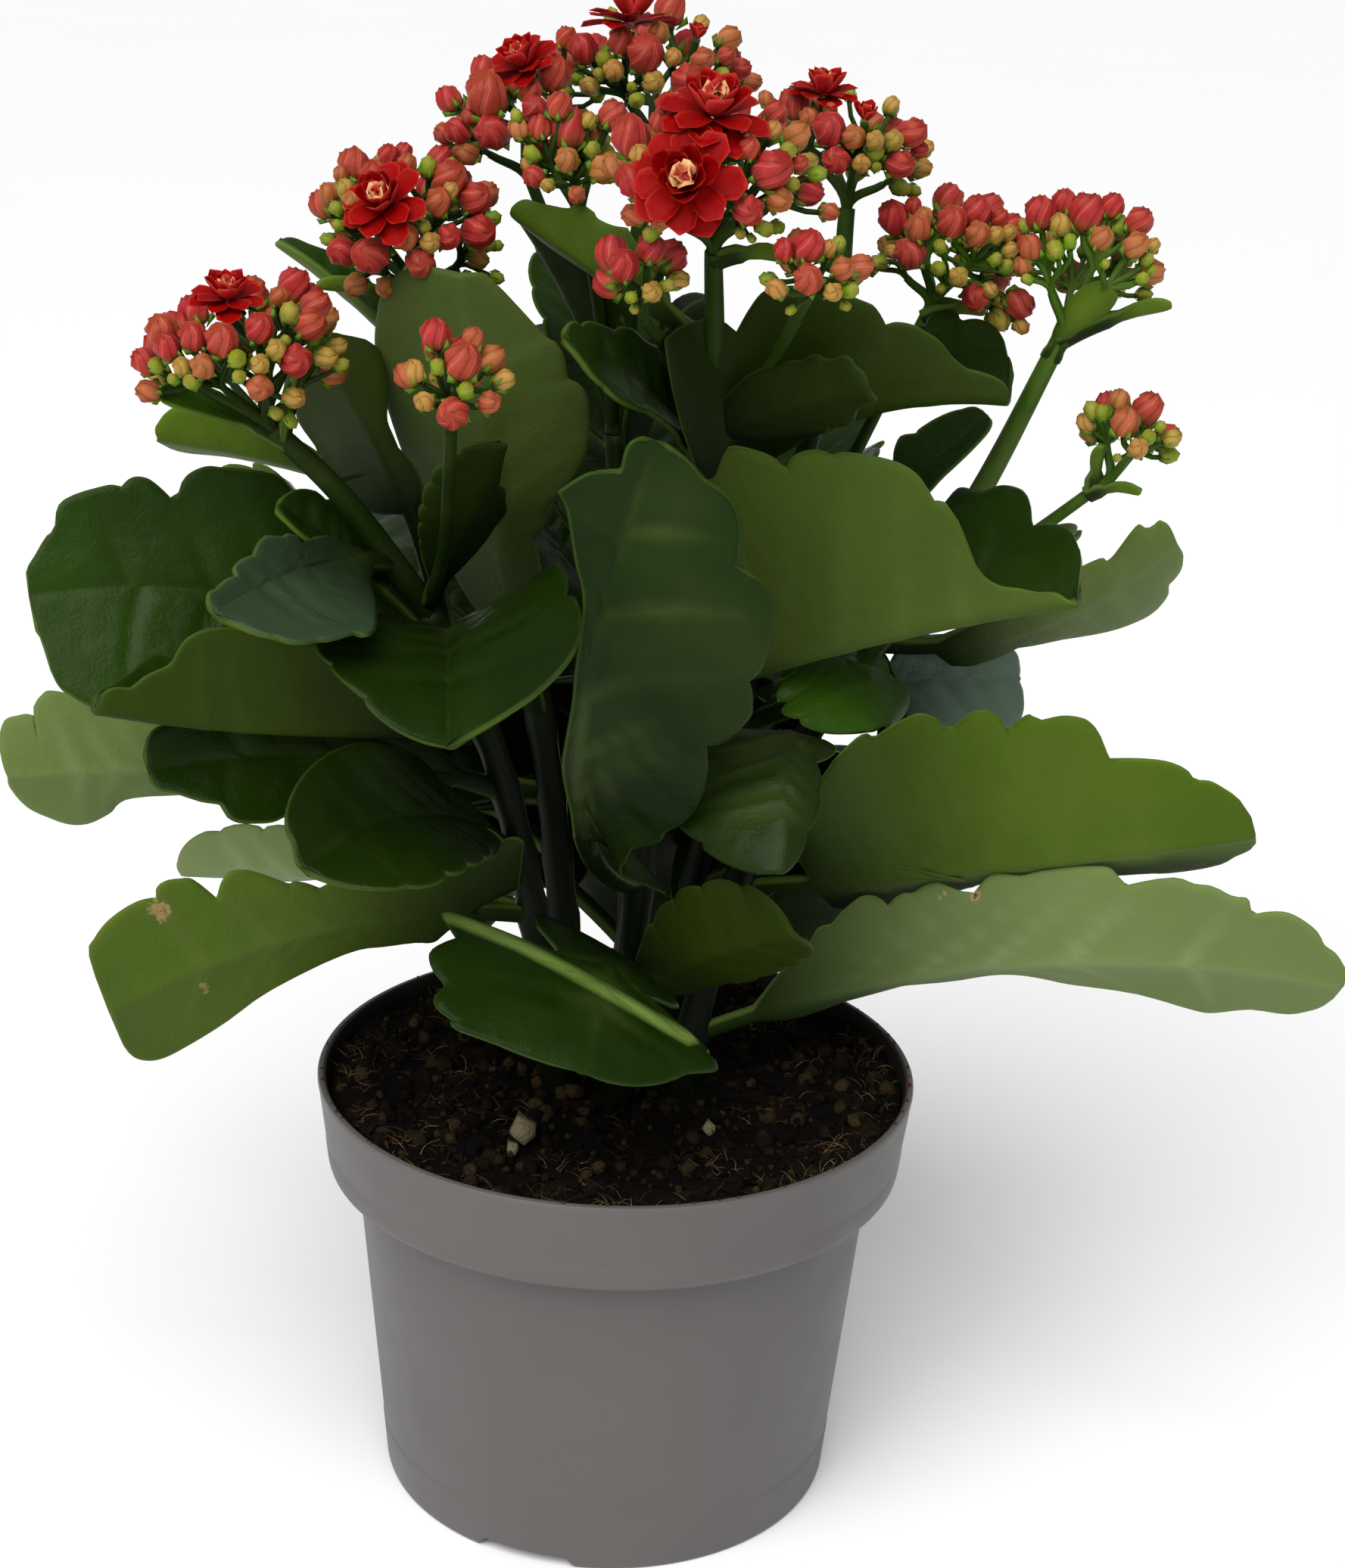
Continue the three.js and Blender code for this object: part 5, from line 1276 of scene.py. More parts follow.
BUDS = {row: [bud.split() for bud in buds.split(",")] for row, buds in read_rows("""
left 0: 216 439 45 r, 222 460 34 r, 256 445 38 r, 293 450 43 r, 342 434 38 r, 368 393 26 m, 388 380 43 o,
    416 406 40 r, 409 430 41 r, 382 414 26 g, 192 478 34 r, 207 483 20 g, 241 485 24 y, 268 485 33 m, 313 475 26 g,
    316 498 20 g, 343 482 26 y, 365 463 27 y, 390 477 43 r, 431 472 28 y, 445 459 24 y, 452 484 18 g, 197 517 30 m,
    230 501 16 g, 254 505 22 g, 343 512 36 m, 388 525 28 y, 365 546 18 g, 384 556 18 g, 376 451 16 g
left 1: 577 446 40 r, 624 450 31 m, 611 479 48 r, 549 491 28 y, 578 485 20 g, 561 531 26 y, 615 517 22 g,
    599 546 42 r, 646 532 30 m
mid_left 0: 468 218 40 o, 495 234 38 r, 513 207 28 r, 533 202 24 r, 538 218 26 m, 566 221 24 g, 592 238 46 o,
    596 220 20 g, 627 263 41 r, 579 268 35 m, 595 254 21 y, 435 256 26 m, 458 251 26 y, 466 268 29 m, 445 276 19 g,
    447 298 16 g, 451 232 20 m, 453 333 37 r, 491 337 48 o, 536 314 34 m, 568 321 28 y, 592 313 34 r, 631 306 43 r,
    561 300 17 g, 631 342 25 y, 655 324 16 g, 555 346 40 r, 471 376 30 m, 510 379 26 m, 656 367 17 g, 617 363 12 g
back 0: 771 66 39 r, 799 78 22 g, 811 94 27 y, 779 114 24 y, 792 98 16 g, 762 105 16 g, 821 55 35 r, 852 72 47 o,
    870 44 27 m, 889 76 22 y, 928 80 32 m, 907 107 43 r, 953 99 20 g, 959 75 25 r, 977 92 28 r, 993 109 24 m,
    863 109 29 y, 841 132 23 g, 835 115 14 g
back 1: 644 128 54 o, 653 102 20 m, 620 155 20 r, 589 178 28 r, 606 174 34 r, 651 176 45 r, 590 202 24 y,
    616 202 34 m, 701 121 31 r, 731 100 43 o, 706 146 34 r, 748 52 28 o, 744 127 16 g
back 2: 686 171 28 m, 714 171 31 r, 740 146 34 r, 751 171 50 o, 700 182 20 y, 703 204 22 g, 749 212 31 m,
    783 198 20 g, 778 162 20 y, 809 154 37 r, 798 223 38 m, 683 155 16 g, 706 234 28 r, 724 245 18 y, 762 257 24 m
centre 0: 881 141 31 r, 872 162 28 r, 834 182 50 o, 846 207 28 y, 837 240 42 o, 838 284 30 m, 874 292 26 m,
    861 308 22 g, 938 292 22 y, 988 278 40 r, 1010 302 22 g, 1027 300 18 g, 990 197 29 r, 1021 173 23 y,
    1023 151 33 r, 1051 181 37 m, 1039 201 24 g, 1019 225 49 o, 1055 217 24 r, 1029 264 34 m, 1069 254 34 r,
    1045 244 20 g, 1079 232 22 g, 1095 280 24 m, 978 308 15 g, 993 315 12 g
centre 1: 824 351 40 r, 859 330 38 r, 861 386 27 y, 882 377 17 g, 834 393 17 g, 838 409 12 g
centre 2: 1069 327 40 r, 1037 331 30 r, 1094 328 22 y, 1068 370 39 r, 1113 356 30 m, 1026 382 26 y, 1100 386 25 y,
    1123 384 21 g, 1117 404 14 g, 1045 410 13 g
right 0: 1012 131 20 m, 1051 138 41 r, 1070 158 28 m, 1095 172 43 r, 1097 147 20 m, 1127 182 31 m, 1155 188 25 y,
    1156 200 24 g, 1180 186 25 y, 1204 177 38 r, 1214 198 22 r, 1188 217 37 r, 1217 222 24 y, 1105 212 37 r,
    1138 216 25 y, 1157 221 15 g, 1190 248 22 g, 1207 252 17 g
right 1: 1183 290 42 o, 1207 273 22 r, 1222 286 25 m, 1212 304 34 m, 1257 294 40 r, 1290 281 40 r, 1291 310 33 m,
    1320 290 26 r, 1315 311 22 y, 1332 309 22 y, 1242 326 18 g, 1203 335 41 r, 1180 333 20 y, 1148 350 24 m,
    1161 348 21 g, 1240 355 21 g, 1266 366 27 y, 1243 381 14 g, 1334 331 21 y, 1315 343 18 g, 1329 352 20 g,
    1289 391 36 r, 1307 384 20 y, 1321 398 21 y, 1320 420 29 y, 1344 402 38 r, 1349 431 20 y
far_right 0: 1373 285 41 r, 1408 267 33 r, 1434 285 46 o, 1469 274 31 r, 1503 295 36 r, 1401 298 27 y,
    1354 299 18 g, 1349 311 20 r, 1361 328 32 m, 1394 330 23 g, 1414 319 18 g, 1455 315 30 m, 1462 290 15 g,
    1480 297 22 g, 1500 325 34 m, 1523 325 18 y, 1515 343 17 g, 1351 352 24 m, 1460 349 12 g, 1509 368 16 g,
    1521 357 12 g, 1357 369 15 g
far_right 1: 1478 531 27 m, 1486 559 37 m, 1516 541 40 r, 1457 546 20 g, 1443 543 22 g, 1503 593 27 y,
    1517 578 20 g, 1548 579 23 y, 1533 564 14 g, 1476 605 12 g
""")}
STAGES = "gymro"
BUD_LIFT = 0.55
BUD_SWAY = 0.12
DOME_WIDE = 0.86
DOME_TALL = 0.66
GOLDEN_TURN = 2.39996
FLOWER_SEED = 500
RIPENESS = {"g": 0.0, "y": 0.33, "m": 0.66, "r": 1.0, "o": 1.0}
USUAL_WIDTH = {"g": 2.6, "y": 3.3, "m": 4.2, "r": 5.3}

# Open flowers: where and how wide they show, where they face, and how far they have opened

BLOOMS = {
    "left 0": [dict(at=(301, 396), width=96, faces=(0.0, -0.35, 1.0), open=0.9)],
    "mid_left 0": [dict(at=(510, 270), width=116, faces=(-0.35, -0.8, 0.7), open=0.85)],
    "back 0": [
        dict(at=(834, 27), width=118, faces=(0.0, 0.12, 1.0), open=1.0),
        dict(at=(921, 47), width=61, faces=(0.25, -0.3, 1.0), open=0.4),
    ],
    "back 1": [dict(at=(695, 88), width=100, faces=(-0.45, -0.45, 0.9), open=0.8)],
    "centre 0": [
        dict(at=(908, 238), width=138, faces=(-0.2, -1.0, 0.35), open=1.0),
        dict(at=(942, 153), width=140, faces=(0.05, -0.45, 1.0), open=1.0),
    ],
    "right 0": [
        dict(at=(1088, 125), width=90, faces=(0.0, -0.15, 1.0), open=0.9),
        dict(at=(1144, 155), width=76, faces=(0.05, -0.35, 1.0), open=0.45),
    ],
}


def cluster_frame(cluster):
    """Centre, lean, and the half sizes of the dome that the buds' middles lie on."""
    centre = np.array(cluster["centre"], float)
    lean = unit(unit(centre - np.array(cluster["path"][-1], float)) + UP)
    return centre, lean, cluster["radius"] * DOME_WIDE, cluster["radius"] * DOME_TALL


def on_dome(cluster, x, y):
    """Where the line of sight through a point of the photograph meets the cluster's dome."""
    centre, lean, wide, tall = cluster_frame(cluster)
    line = sight_line(x, y)
    start = CAMERA_PLACE - centre

    def stretch(vector):
        upward = lean * (vector @ lean)
        return (vector - upward) / wide + upward / tall

    p, d = stretch(start), stretch(line)
    a, b, c = d @ d, p @ d, p @ p - 1
    root = b * b - a * c
    distance = (-b - math.sqrt(root)) / a if root > 0 else -b / a
    return CAMERA_PLACE + line * distance


def dome_normal(cluster, point):
    centre, lean, wide, tall = cluster_frame(cluster)
    offset = point - centre
    upward = lean * (offset @ lean)
    normal = (offset - upward) / wide ** 2 + upward / tall ** 2
    return normal / max(np.linalg.norm(normal), 1e-9)


def cluster_buds(key, cluster, rng):
    """Every bud of a cluster: middle, axis, width and stage. The far side is filled in the same manner."""
    centre, lean, wide, tall = cluster_frame(cluster)

    def axis_at(middle):
        return unit(dome_normal(cluster, middle) + BUD_LIFT * UP + BUD_SWAY * rng.normal(size=3))

    buds = []
    for x, y, width, stage in BUDS[key]:
        middle = on_dome(cluster, int(x), int(y))
        size = photo_size(int(width), middle)
        buds.append((middle, axis_at(middle), size, stage))
    total = 2 * len(buds) + 2
    side = unit(np.cross(lean, [0.2, 1.0, 0.1]))
    over = np.cross(lean, side)
    for i in range(total):
        height = 0.95 - 1.45 * (i + 0.5) / total
        around = math.sqrt(max(0.0, 1 - height * height))
        angle = i * GOLDEN_TURN + rng.uniform(-0.25, 0.25)
        direction = around * (math.cos(angle) * side + math.sin(angle) * over)
        middle = centre + direction * wide + lean * height * tall
        if dome_normal(cluster, middle) @ FORWARD < 0.12:
            continue
        chances = (0.1, 0.15, 0.3, 0.45) if height > 0.1 else (0.4, 0.3, 0.2, 0.1)
        stage = STAGES[rng.choice(4, p=chances)]
        buds.append((middle, axis_at(middle), USUAL_WIDTH[stage] * rng.uniform(0.88, 1.12), stage))
    return buds


def settle_apart(buds):
    """Buds that would lie in each other move apart along the line of sight, so their places in the view stay."""
    middles = [bud[0].copy() for bud in buds]
    for _ in range(12):
        for i in range(len(buds)):
            for j in range(i):
                gap = middles[i] - middles[j]
                room = 0.46 * (buds[i][2] + buds[j][2]) - np.linalg.norm(gap)
                if room > 0:
                    push = FORWARD * 0.35 * room * (-1 if gap @ FORWARD < 0 else 1)
                    middles[i] += push
                    middles[j] -= push
    return [(middle, *bud[1:]) for middle, bud in zip(middles, buds)]


# Bud shapes, one unit wide, standing on their stalk at the origin

BUD_SHAPES = {
    "g": dict(sides=8, length=1.35, petals=0, sepal=0.62, crown=0.10, levels=5),
    "y": dict(sides=12, length=1.22, petals=4, sepal=0.50, crown=0.22, levels=6),
    "m": dict(sides=12, length=1.14, petals=4, sepal=0.42, crown=0.34, levels=6),
    "r": dict(sides=15, length=1.10, petals=5, sepal=0.38, crown=0.42, levels=6),
    "o": dict(sides=20, length=1.12, petals=5, sepal=0.34, crown=0.60, levels=6),
}


def bud_shape(stage):
    shape = BUD_SHAPES[stage]
    sides, levels, length = shape["sides"], shape["levels"], shape["length"]
    per_petal = sides // shape["petals"] if shape["petals"] else 0
    rows = [((0, 0, 0), 0, 0, 0)]
    for i in range(1, levels + 1):
        share = i / levels
        bulge = math.sin(math.pi * min(1, 0.13 + 0.70 * share)) ** 0.6
        narrow = 0.5 * bulge if share < 1 else 0.5 * shape["crown"]
        for j in range(sides):
            angle = (j / sides + 0.10 * share + 0.14 * share ** 3) * 2 * math.pi
            step = crease = jag = 0.0
            if per_petal:
                k = j % per_petal
                step = 0.16 * (0.5 - k / (per_petal - 1)) * (0.4 + share)
                crease = {0: 1.0, per_petal - 1: -1.0}.get(k, 0.0)
                jag = 0.05 * length * (k == per_petal // 2) * (share == 1)
            radius = narrow * (1 + step)
            rows.append(((radius * math.cos(angle), radius * math.sin(angle), length * share + jag), crease, share, 0))
    rows.append(((0, 0, length * (0.90 if shape["crown"] > 0.2 else 1.03)), 0, 1, 0))
    faces = lathe_faces(levels, sides)
    reach = shape["sepal"] * length
    for q in range(4):
        low, high, tip, ridge = range(len(rows), len(rows) + 4)
        for turn, radius, z in ((-0.72, 0.26, -0.03), (0.72, 0.26, -0.03), (0, 0.55, reach), (0, 0.60, reach * 0.42)):
            angle = (q + 0.5) * math.pi / 2 + turn
            rows.append(((radius * math.cos(angle), radius * math.sin(angle), z), 0, max(z, 0) / length, 1))
        faces += [(low, high, ridge), (high, tip, ridge), (tip, low, ridge), (low, tip, high)]
    points, crease, rise, sepal = zip(*rows)
    return points, faces, {"crease": crease, "rise": rise, "sepal": sepal}


# The width of each petal and how far it bends back or up and cups: flat, cupped and curled
PETAL_SHAPES = [(0.62, -0.18, 0.12), (0.60, 0.30, 0.26), (0.54, 0.62, 0.34)]


def petal_shape(wide, bend, cup):
    """A thin closed petal, one unit long, along +X from the origin, its upper side up."""
    rows, columns = 7, 5
    top, low, margin = [], [], []
    for i in range(rows):
        u = i / (rows - 1)
        half = 0.5 * wide * (0.16 + 0.84 * outline(max(u, 0.02), 0.75, 0.36)) if u < 1 else 0.02
        angle = bend * 2 * u
        x, z = math.sin(angle) / (2 * bend), (1 - math.cos(angle)) / (2 * bend)
        for j in range(columns):
            s = 2 * j / (columns - 1) - 1
            lift = cup * half * 2 * s * s
            thick = 0.018 * (1 - abs(s)) * (u < 1)
            place = np.array([x - lift * math.sin(angle), half * s, z + lift * math.cos(angle)])
            up = np.array([-math.sin(angle), 0, math.cos(angle)])
            top.append(place + up * thick)
            low.append(place - up * thick)
            margin.append(min(1 - abs(s), 1 - u) if u > 0.3 else 1 - abs(s))
    count = rows * columns
    faces = []
    for i in range(rows - 1):
        for j in range(columns - 1):
            a = i * columns + j
            faces.append((a, a + columns, a + columns + 1, a + 1))
            faces.append((a + count + 1, a + count + columns + 1, a + count + columns, a + count))
    around = [*range(columns), *(i * columns + columns - 1 for i in range(1, rows))]
    around += [(rows - 1) * columns + j for j in range(columns - 2, -1, -1)]
    around += [i * columns for i in range(rows - 2, 0, -1)]
    for a, b in zip(around, around[1:] + around[:1]):
        faces.append((a, b, b + count, a + count))
    values = {
        "margin": margin + margin,
        "upper": [1.0] * count + [0.0] * count,
        "rise": [i / (rows - 1) for i in range(rows) for _ in range(columns)] * 2,
    }
    return top + low, faces, values


def make_shapes(name, shapes):
    """A collection of the shapes that a tree repeats, in the order of their names."""
    group = bpy.data.collections.new(name)
    for i, (points, faces, values) in enumerate(shapes):
        shape = make_mesh(f"{name}_{i}", np.array(points) / MM, faces, None, values)
        for owner in list(shape.users_collection):
            owner.objects.unlink(shape)
        group.objects.link(shape)
    return group


def drop_shapes(group):
    for shape in list(group.objects):
        bpy.data.objects.remove(shape)
    bpy.data.collections.remove(group)


def open_tree(name, **sockets):
    """A tree for a modifier: its nodes, its inputs' node, and the keys of the named inputs."""
    tree = bpy.data.node_groups.new(name, "GeometryNodeTree")
    tree.interface.new_socket(name="Geometry", in_out="INPUT", socket_type="NodeSocketGeometry")
    keys = {}
    for key, (kind, value) in sockets.items():
        item = tree.interface.new_socket(name=key.title(), in_out="INPUT", socket_type=f"NodeSocket{kind}")
        if value is not None:
            item.default_value = value
        keys[key] = item.identifier
    tree.interface.new_socket(name="Geometry", in_out="OUTPUT", socket_type="NodeSocketGeometry")
    nodes = Nodes(tree)
    return nodes, nodes.add("NodeGroupInput").outputs, keys


def close_tree(nodes, entry, geometry):
    """Ends a tree with real, smooth and painted geometry."""
    real = nodes.add("GeometryNodeRealizeInstances", {"Geometry": geometry})
    smooth = nodes.add("GeometryNodeSetShadeSmooth", {"Geometry": real.outputs[0]})
    painted = nodes.add("GeometryNodeSetMaterial", {"Geometry": smooth.outputs[0], "Material": entry["Finish"]})
    nodes.add("NodeGroupOutput", {"Geometry": painted.outputs[0]})


def repeat_tree(name):
    """Repeats one shape of a collection at each point, turned and sized by the point's own numbers."""
    sockets = dict(shapes=("Collection", None), finish=("Material", None), scale=("Float", 1.0))
    nodes, entry, keys = open_tree(name, **sockets)
    shapes = nodes.add("GeometryNodeCollectionInfo", {
        "Collection": entry["Shapes"], "Separate Children": True, "Reset Children": True,
    })
    kind, turn, size = (
        nodes.add("GeometryNodeInputNamedAttribute", {"Name": number}, data_type=data_type).outputs["Attribute"]
        for number, data_type in (("kind", "INT"), ("turn", "FLOAT_VECTOR"), ("size", "FLOAT"))
    )
    copies = nodes.add("GeometryNodeInstanceOnPoints", {
        "Points": entry["Geometry"], "Instance": shapes.outputs[0], "Pick Instance": True,
        "Instance Index": kind, "Rotation": turn, "Scale": nodes.times(size, entry["Scale"]),
    })
    close_tree(nodes, entry, copies.outputs[0])
    return nodes.tree, keys


def branch_tree(name):
    """Turns lines into round stalks, as thick as their points say."""
    nodes, entry, keys = open_tree(name, sides=("Int", 6), finish=("Material", None))
    lines = nodes.add("GeometryNodeMeshToCurve", {"Mesh": entry["Geometry"]})
    thick = nodes.add("GeometryNodeInputNamedAttribute", {"Name": "thick"}, data_type="FLOAT")
    circle = nodes.add("GeometryNodeCurvePrimitiveCircle", {"Resolution": entry["Sides"], "Radius": 1.0})
    tubes = nodes.add("GeometryNodeCurveToMesh", {
        "Curve": lines.outputs[0], "Profile Curve": circle.outputs[0], "Scale": thick.outputs["Attribute"],
        "Fill Caps": True,
    })
    close_tree(nodes, entry, tubes.outputs[0])
    return nodes.tree, keys


def grow(tree_and_keys, carrier, name, **inputs):
    """Runs a tree on the carrier's points or lines, and keeps the result as a plain mesh."""
    tree, keys = tree_and_keys
    modifier = carrier.modifiers.new("grow", "NODES")
    modifier.node_group = tree
    for key, value in inputs.items():
        modifier[keys[key]] = value
    return settle(carrier, name)


def repeat_shapes(tree_and_keys, rows, tones, name, group, finish):
    """A piece of shapes repeated by rows, which give the place, turn, size, shape and tones of each."""
    places, turns, sizes, kinds, *numbers = zip(*rows)
    mesh = bpy.data.meshes.new(f"{name}_points")
    mesh.from_pydata((np.asarray(places) * MM).tolist(), [], [])
    store(mesh, "turn", turns, "FLOAT_VECTOR")
    store(mesh, "size", np.asarray(sizes, np.float32) * MM)
    store(mesh, "kind", kinds, "INT")
    for tone, values in zip(tones, numbers):
        store(mesh, tone, values)
    return grow(tree_and_keys, new_object(f"{name}_points", mesh), name, shapes=group, finish=finish)


def line_cloud(name, paths):
    """Lines with a thickness at each point, in millimetres."""
    points, edges, thick = [], [], []
    for path, radii in paths:
        start = len(points)
        points += [tuple(np.asarray(p) * MM) for p in path]
        thick += [r * MM for r in radii]
        edges += [(start + i, start + i + 1) for i in range(len(path) - 1)]
    mesh = bpy.data.meshes.new(name)
    mesh.from_pydata(points, edges, [])
    store(mesh, "thick", thick)
    return new_object(name, mesh)


def upright(axis, spin):
    """The turn that stands +Z along an axis after a spin about it, as Euler angles."""
    turn = Vector(axis).to_track_quat("Z", "Y").to_matrix() @ Matrix.Rotation(spin, 3, "Z")
    return tuple(turn.to_euler())


def bend_between(start, start_way, end, end_way, steps, pull=0.4):
    """A smooth bend that leaves and arrives in the given directions."""
    start, end = np.asarray(start, float), np.asarray(end, float)
    reach = pull * np.linalg.norm(end - start)
    near, far = start + unit(start_way) * reach, end - unit(end_way) * reach
    t = np.linspace(0, 1, steps + 1)[:, None]
    return (1 - t) ** 3 * start + 3 * t * (1 - t) ** 2 * near + 3 * t * t * (1 - t) * far + t ** 3 * end


def cluster_branches(shoot, cluster, first, feet):
    """The main stalk, its branches, and the thin stalk under each bud or flower."""
    path = smooth_path([shoot["stem"][-1], *cluster["path"]], 10)
    radii = [stem_radius(p[2]) if first else 1.35 for p in path]
    lines = [(path, [r * (1 - 0.18 * i / len(path)) for i, r in enumerate(radii)])]
    fork = path[-1]
    way = unit(path[-1] - path[-3])
    places = np.array([foot for foot, _, _ in feet])
    groups = max(2, round(len(feet) / 7))

    def distances(point):
        return np.linalg.norm(places - point, axis=1)

    seeds = [int(np.argmax(distances(fork)))]
    while len(seeds) < groups:
        seeds.append(int(np.argmax(np.min([distances(places[s]) for s in seeds], axis=0))))
    owner = np.argmin([distances(places[s]) for s in seeds], axis=0)
    for g in range(groups):
        members = [feet[i] for i in np.flatnonzero(owner == g)]
        if not members:
            continue
        mean = np.mean([foot for foot, _, _ in members], axis=0)
        node = fork + (mean - fork) * 0.62
        out = unit(mean - fork)
        lines.append((bend_between(fork, way + 0.4 * out, node, out, 6), np.linspace(1.0, 0.72, 7)))
        for foot, axis, thick in members:
            stalk = bend_between(node, out, foot, axis, 5, 0.45)
            lines.append((stalk, np.linspace(0.8 * thick + 0.12, thick, 6)))
    return lines


PETAL_SPIRAL = math.radians(137.5)


def bloom_petals(middle, faces, width, opened, rng):
    """The petals of one double flower, from the flat outer ones to the curled heart."""
    petals = []
    full = opened > 0.6
    count = 34 if full else 18
    side = unit(np.cross(faces, [0.31, 0.2, 0.9]))
    over = np.cross(faces, side)
    lowest = 4 + (1 - opened) * 62
    for i in range(count):
        share = i / (count - 1)
        angle = i * PETAL_SPIRAL + rng.uniform(-0.12, 0.12)
        outward = math.cos(angle) * side + math.sin(angle) * over
        tilt = math.radians(lowest + (84 - lowest) * share ** 1.25 + rng.uniform(-5, 5))
        way = math.cos(tilt) * outward + math.sin(tilt) * faces
        length = width * (0.56 - 0.27 * share) * (0.62 + 0.38 * full) * rng.uniform(0.94, 1.06)
        root = middle + faces * width * (0.13 * share - 0.05) + outward * width * 0.05 * (1 - share)
        back = np.cross(faces, outward)
        turn = Matrix((Vector(way), Vector(back), Vector(np.cross(way, back)))).transposed()
        kind = 2 if share > 0.66 else (1 if share > 0.34 or opened < 0.6 else 0)
        petals.append((root, tuple(turn.to_euler()), length, kind, max(0.0, (share - 0.72) / 0.28)))
    return petals


def bud_material():
    material, nodes, shader, place = new_material("bud_petals", Roughness=0.5, Specular_IOR_Level=0.22)
    ripe, rise = nodes.value("ripeness"), nodes.value("rise")
    young = nodes.blend(nodes.ramp(ripe, 0.0, 0.33), srgb(110, 142, 18), srgb(180, 142, 64))
    middle = nodes.blend(nodes.ramp(ripe, 0.33, 0.66), young, srgb(166, 86, 48))
    red = nodes.blend(nodes.ramp(ripe, 0.66, 1.0), middle, srgb(168, 40, 40))
    mottle = nodes.noise(place, 300.0, 4.0, 0.6)
    soft = nodes.blend(ripe, srgb(192, 148, 84), srgb(178, 66, 64))
    red = nodes.blend(nodes.times(nodes.ramp(mottle, 0.42, 0.7), 0.5), red, soft)
    tip = nodes.ramp(rise, 0.7, 1.0, 0.0, 0.55)
    red = nodes.blend(tip, red, nodes.blend(ripe, srgb(128, 96, 30), srgb(132, 34, 14)))
    foot = nodes.ramp(rise, 0.45, 0.05, 0.0, 0.6)
    red = nodes.blend(foot, red, srgb(138, 108, 44))
    # Painted shadow in the crease where one petal tucks under the next
    shadow = nodes.ramp(nodes.value("crease"), -0.4, -1.0, 0.0, 0.6)
    red = nodes.blend(shadow, red, nodes.blend(ripe, srgb(104, 80, 14), srgb(84, 10, 6)))
    crease = nodes.ramp(nodes.value("crease"), 0.75, 1.0, 0.0, 0.45)
    red = nodes.blend(crease, red, srgb(214, 128, 96))
    green = nodes.blend(nodes.noise(place, 300.0), srgb(72, 112, 16), srgb(106, 140, 34))
    colour = nodes.blend(nodes.value("sepal"), red, green)
    fine = nodes.noise(place, 1900.0, 2.0)
    connect(nodes, shader, colour, None, fine, 0.25, 0.0003)
    return material


def petal_material():
    material, nodes, shader, place = new_material("petal_red", Roughness=0.55, Specular_IOR_Level=0.08)
    upper = nodes.ramp(nodes.value("upper"), 0.3, 0.7)
    streaks = nodes.noise(place, 700.0, 3.0)
    red = nodes.blend(streaks, srgb(112, 0, 0), srgb(160, 1, 1))
    dusty = nodes.blend(streaks, srgb(140, 14, 14), srgb(168, 40, 36))
    colour = nodes.blend(upper, dusty, red)
    edge = nodes.ramp(nodes.value("margin"), 0.0, 0.10, 0.45, 0.0)
    colour = nodes.blend(edge, colour, srgb(206, 62, 44))
    heart = nodes.times(nodes.value("heart"), nodes.ramp(nodes.value("rise"), 0.1, 0.6, 0.35, 1.0))
    colour = nodes.blend(heart, colour, srgb(240, 190, 132))
    connect(nodes, shader, colour, None, streaks, 0.3, 0.0004)
    return material


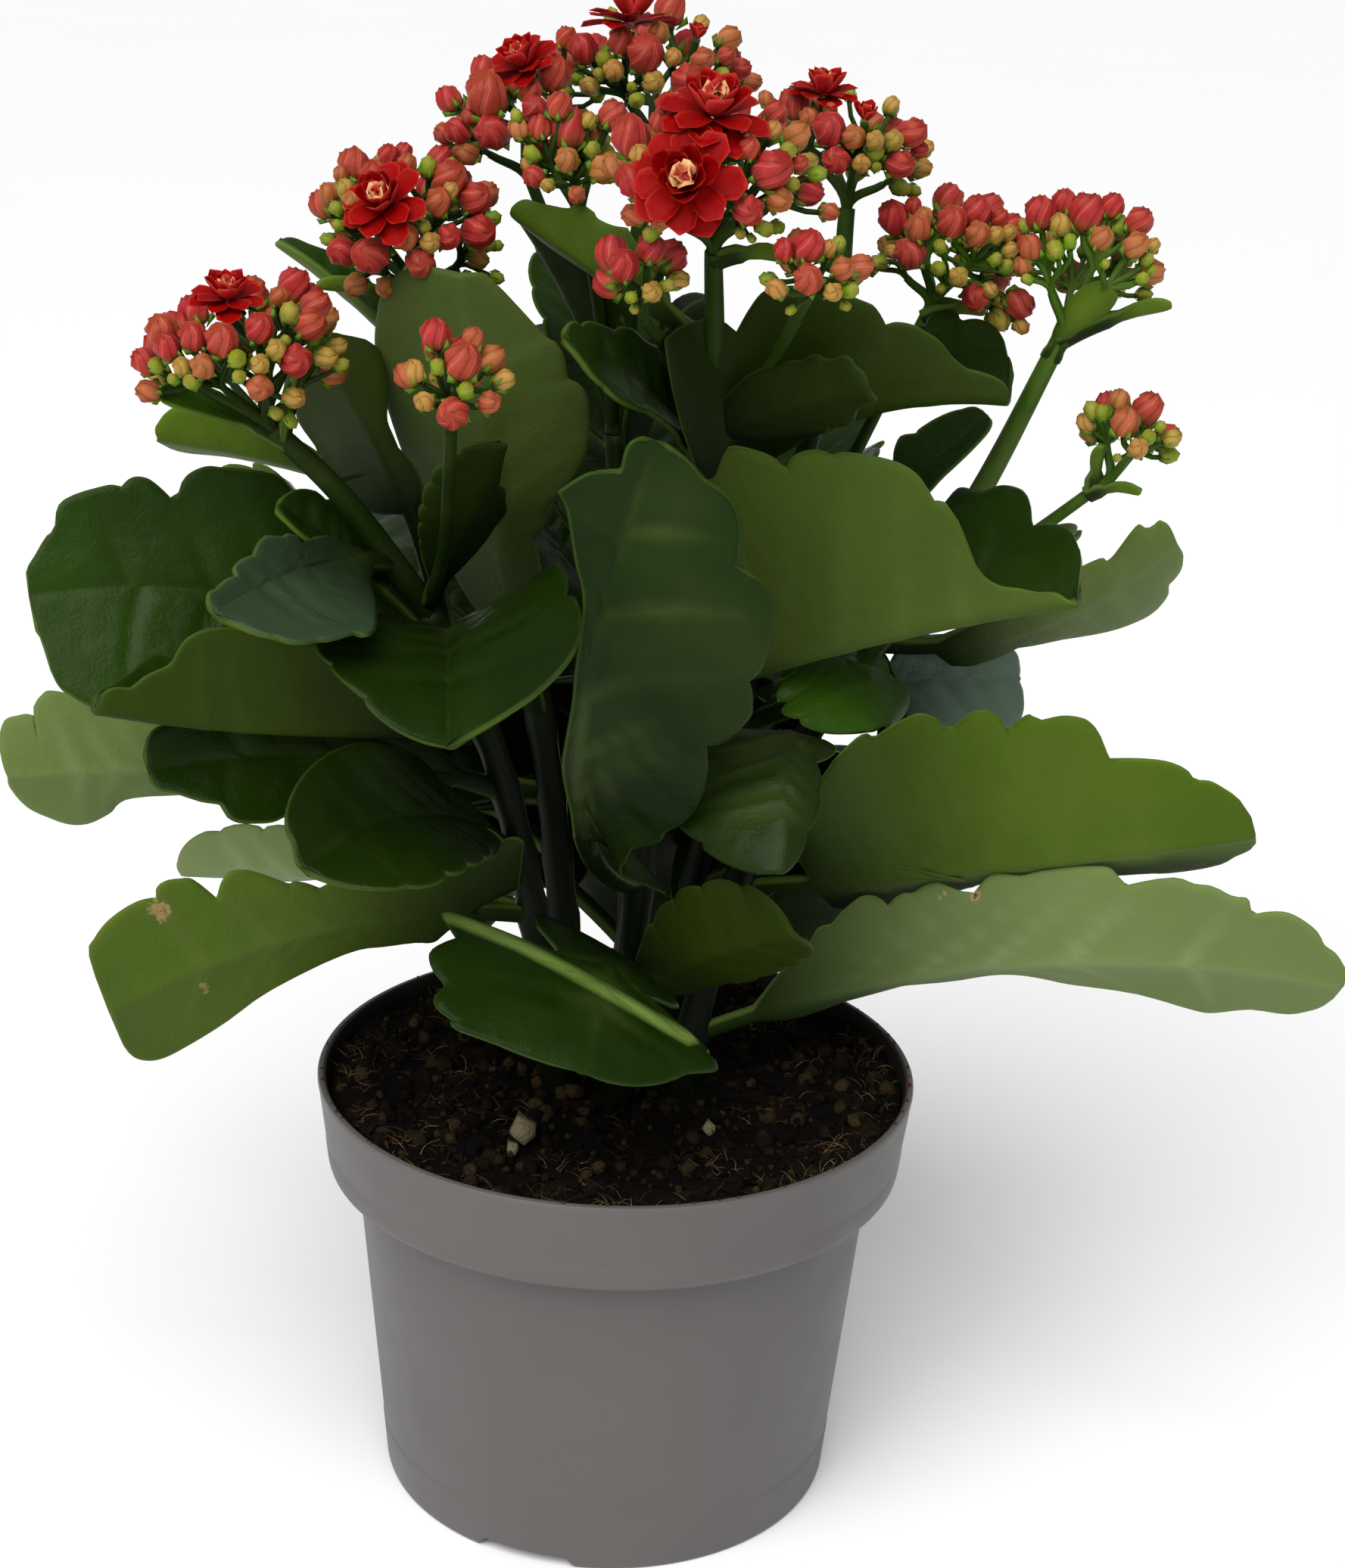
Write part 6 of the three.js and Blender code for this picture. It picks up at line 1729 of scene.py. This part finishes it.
def add_flowers(green):
    buds_finish, petals_finish = bud_material(), petal_material()
    bud_shapes = make_shapes("bud_shapes", [bud_shape(stage) for stage in STAGES])
    petal_shapes = make_shapes("petal_shapes", [petal_shape(*shape) for shape in PETAL_SHAPES])
    repeat, branches = repeat_tree("repeat_shapes"), branch_tree("round_stalks")
    for number, (name, shoot) in enumerate(SHOOTS.items()):
        rng = np.random.default_rng(FLOWER_SEED + number)
        buds, petals, lines = [], [], []
        for i, cluster in enumerate(shoot["clusters"]):
            key, feet = f"{name} {i}", []
            for middle, axis, size, stage in settle_apart(cluster_buds(key, cluster, rng)):
                foot = middle - axis * size * BUD_SHAPES[stage]["length"] / 2
                turn = upright(axis, rng.uniform(0, 2 * math.pi))
                ripeness = np.clip(RIPENESS[stage] + rng.uniform(-0.14, 0.08), 0, 1)
                buds.append((foot, turn, size, STAGES.index(stage), ripeness))
                feet.append((foot, axis, 0.34 + 0.05 * size))
            for bloom in BLOOMS.get(key, []):
                middle = on_dome(cluster, *bloom["at"])
                faces = unit(bloom["faces"])
                width = photo_size(bloom["width"], middle)
                petals += bloom_petals(middle, faces, width, bloom["open"], rng)
                feet.append((middle - faces * width * 0.12, faces, 0.75))
            lines += cluster_branches(shoot, cluster, i == 0, feet)
        bud_piece = repeat_shapes(repeat, buds, ["ripeness"], f"buds_{name}", bud_shapes, buds_finish)
        stand_for(bud_piece, "flower", f"flowers_{name}")
        if petals:
            blooms = repeat_shapes(repeat, petals, ["heart"], f"blooms_{name}", petal_shapes, petals_finish)
            stand_for(blooms, "flower", f"flowers_{name}")
        carrier = line_cloud(f"branch_lines_{name}", lines)
        sprays = grow(branches, carrier, f"sprays_{name}", sides=7, finish=green)
        stand_for(sprays, "stem", f"flowers_{name}")
    drop_shapes(bud_shapes)
    drop_shapes(petal_shapes)


# Stage

FLOOR_REACH = 14000
BACKDROP_LIGHT = 0.42
LIT_HEIGHT = 0.15


def add_lamp(name, kind, energy, aim, place=(0, 0, 0), **settings):
    """A light that shines along the aim."""
    data = bpy.data.lights.new(name, kind)
    for key, value in {"energy": energy, **settings}.items():
        setattr(data, key, value)
    lamp = new_object(name, data)
    lamp.location = place
    lamp.rotation_euler = Vector(aim).to_track_quat("-Z", "Y").to_euler()


def add_stage():
    floor_material, nodes, shader, place = new_material("floor_pale", Roughness=0.9)
    connect(nodes, shader, nodes.blend(nodes.noise(place, 3.0), (0.95, 0.95, 0.95, 1.0), (0.97, 0.97, 0.97, 1.0)))
    corners = [(x * FLOOR_REACH, y * FLOOR_REACH, 0) for x, y in ((-1, -1), (1, -1), (1, 1), (-1, 1))]
    make_mesh("floor", corners, [(0, 1, 2, 3)], floor_material)
    world = bpy.data.worlds.new("studio")
    bpy.context.scene.world = world
    world.use_nodes = True
    backdrop = world.node_tree.nodes["Background"].inputs
    backdrop["Color"].default_value = (1.0, 1.0, 1.0, 1.0)
    backdrop["Strength"].default_value = BACKDROP_LIGHT
    add_lamp("sky", "SUN", 2.4, (0.15, 0.62, -0.85), angle=math.radians(50))
    for name, place, size, power in (("key", (-0.8, -0.9, 0.9), 0.9, 5.5), ("fill", (0.9, -0.9, 0.5), 0.8, 0.7)):
        add_lamp(name, "AREA", power, Vector((0.0, 0.0, LIT_HEIGHT)) - Vector(place), place, size=size)
    bpy.context.scene.view_settings.view_transform = "Standard"


add_camera()
add_stage()
add_pot(pot_material())
soil_finish = soil_material()
add_soil(soil_finish)
add_crumbs(soil_finish)
stem_finish = stem_material()
add_stems(stem_finish)
leaf_finish = leaf_material()
add_leaves(leaf_finish)
add_heart_leaves(leaf_finish)
add_bracts(leaf_finish)
add_flowers(stem_finish)
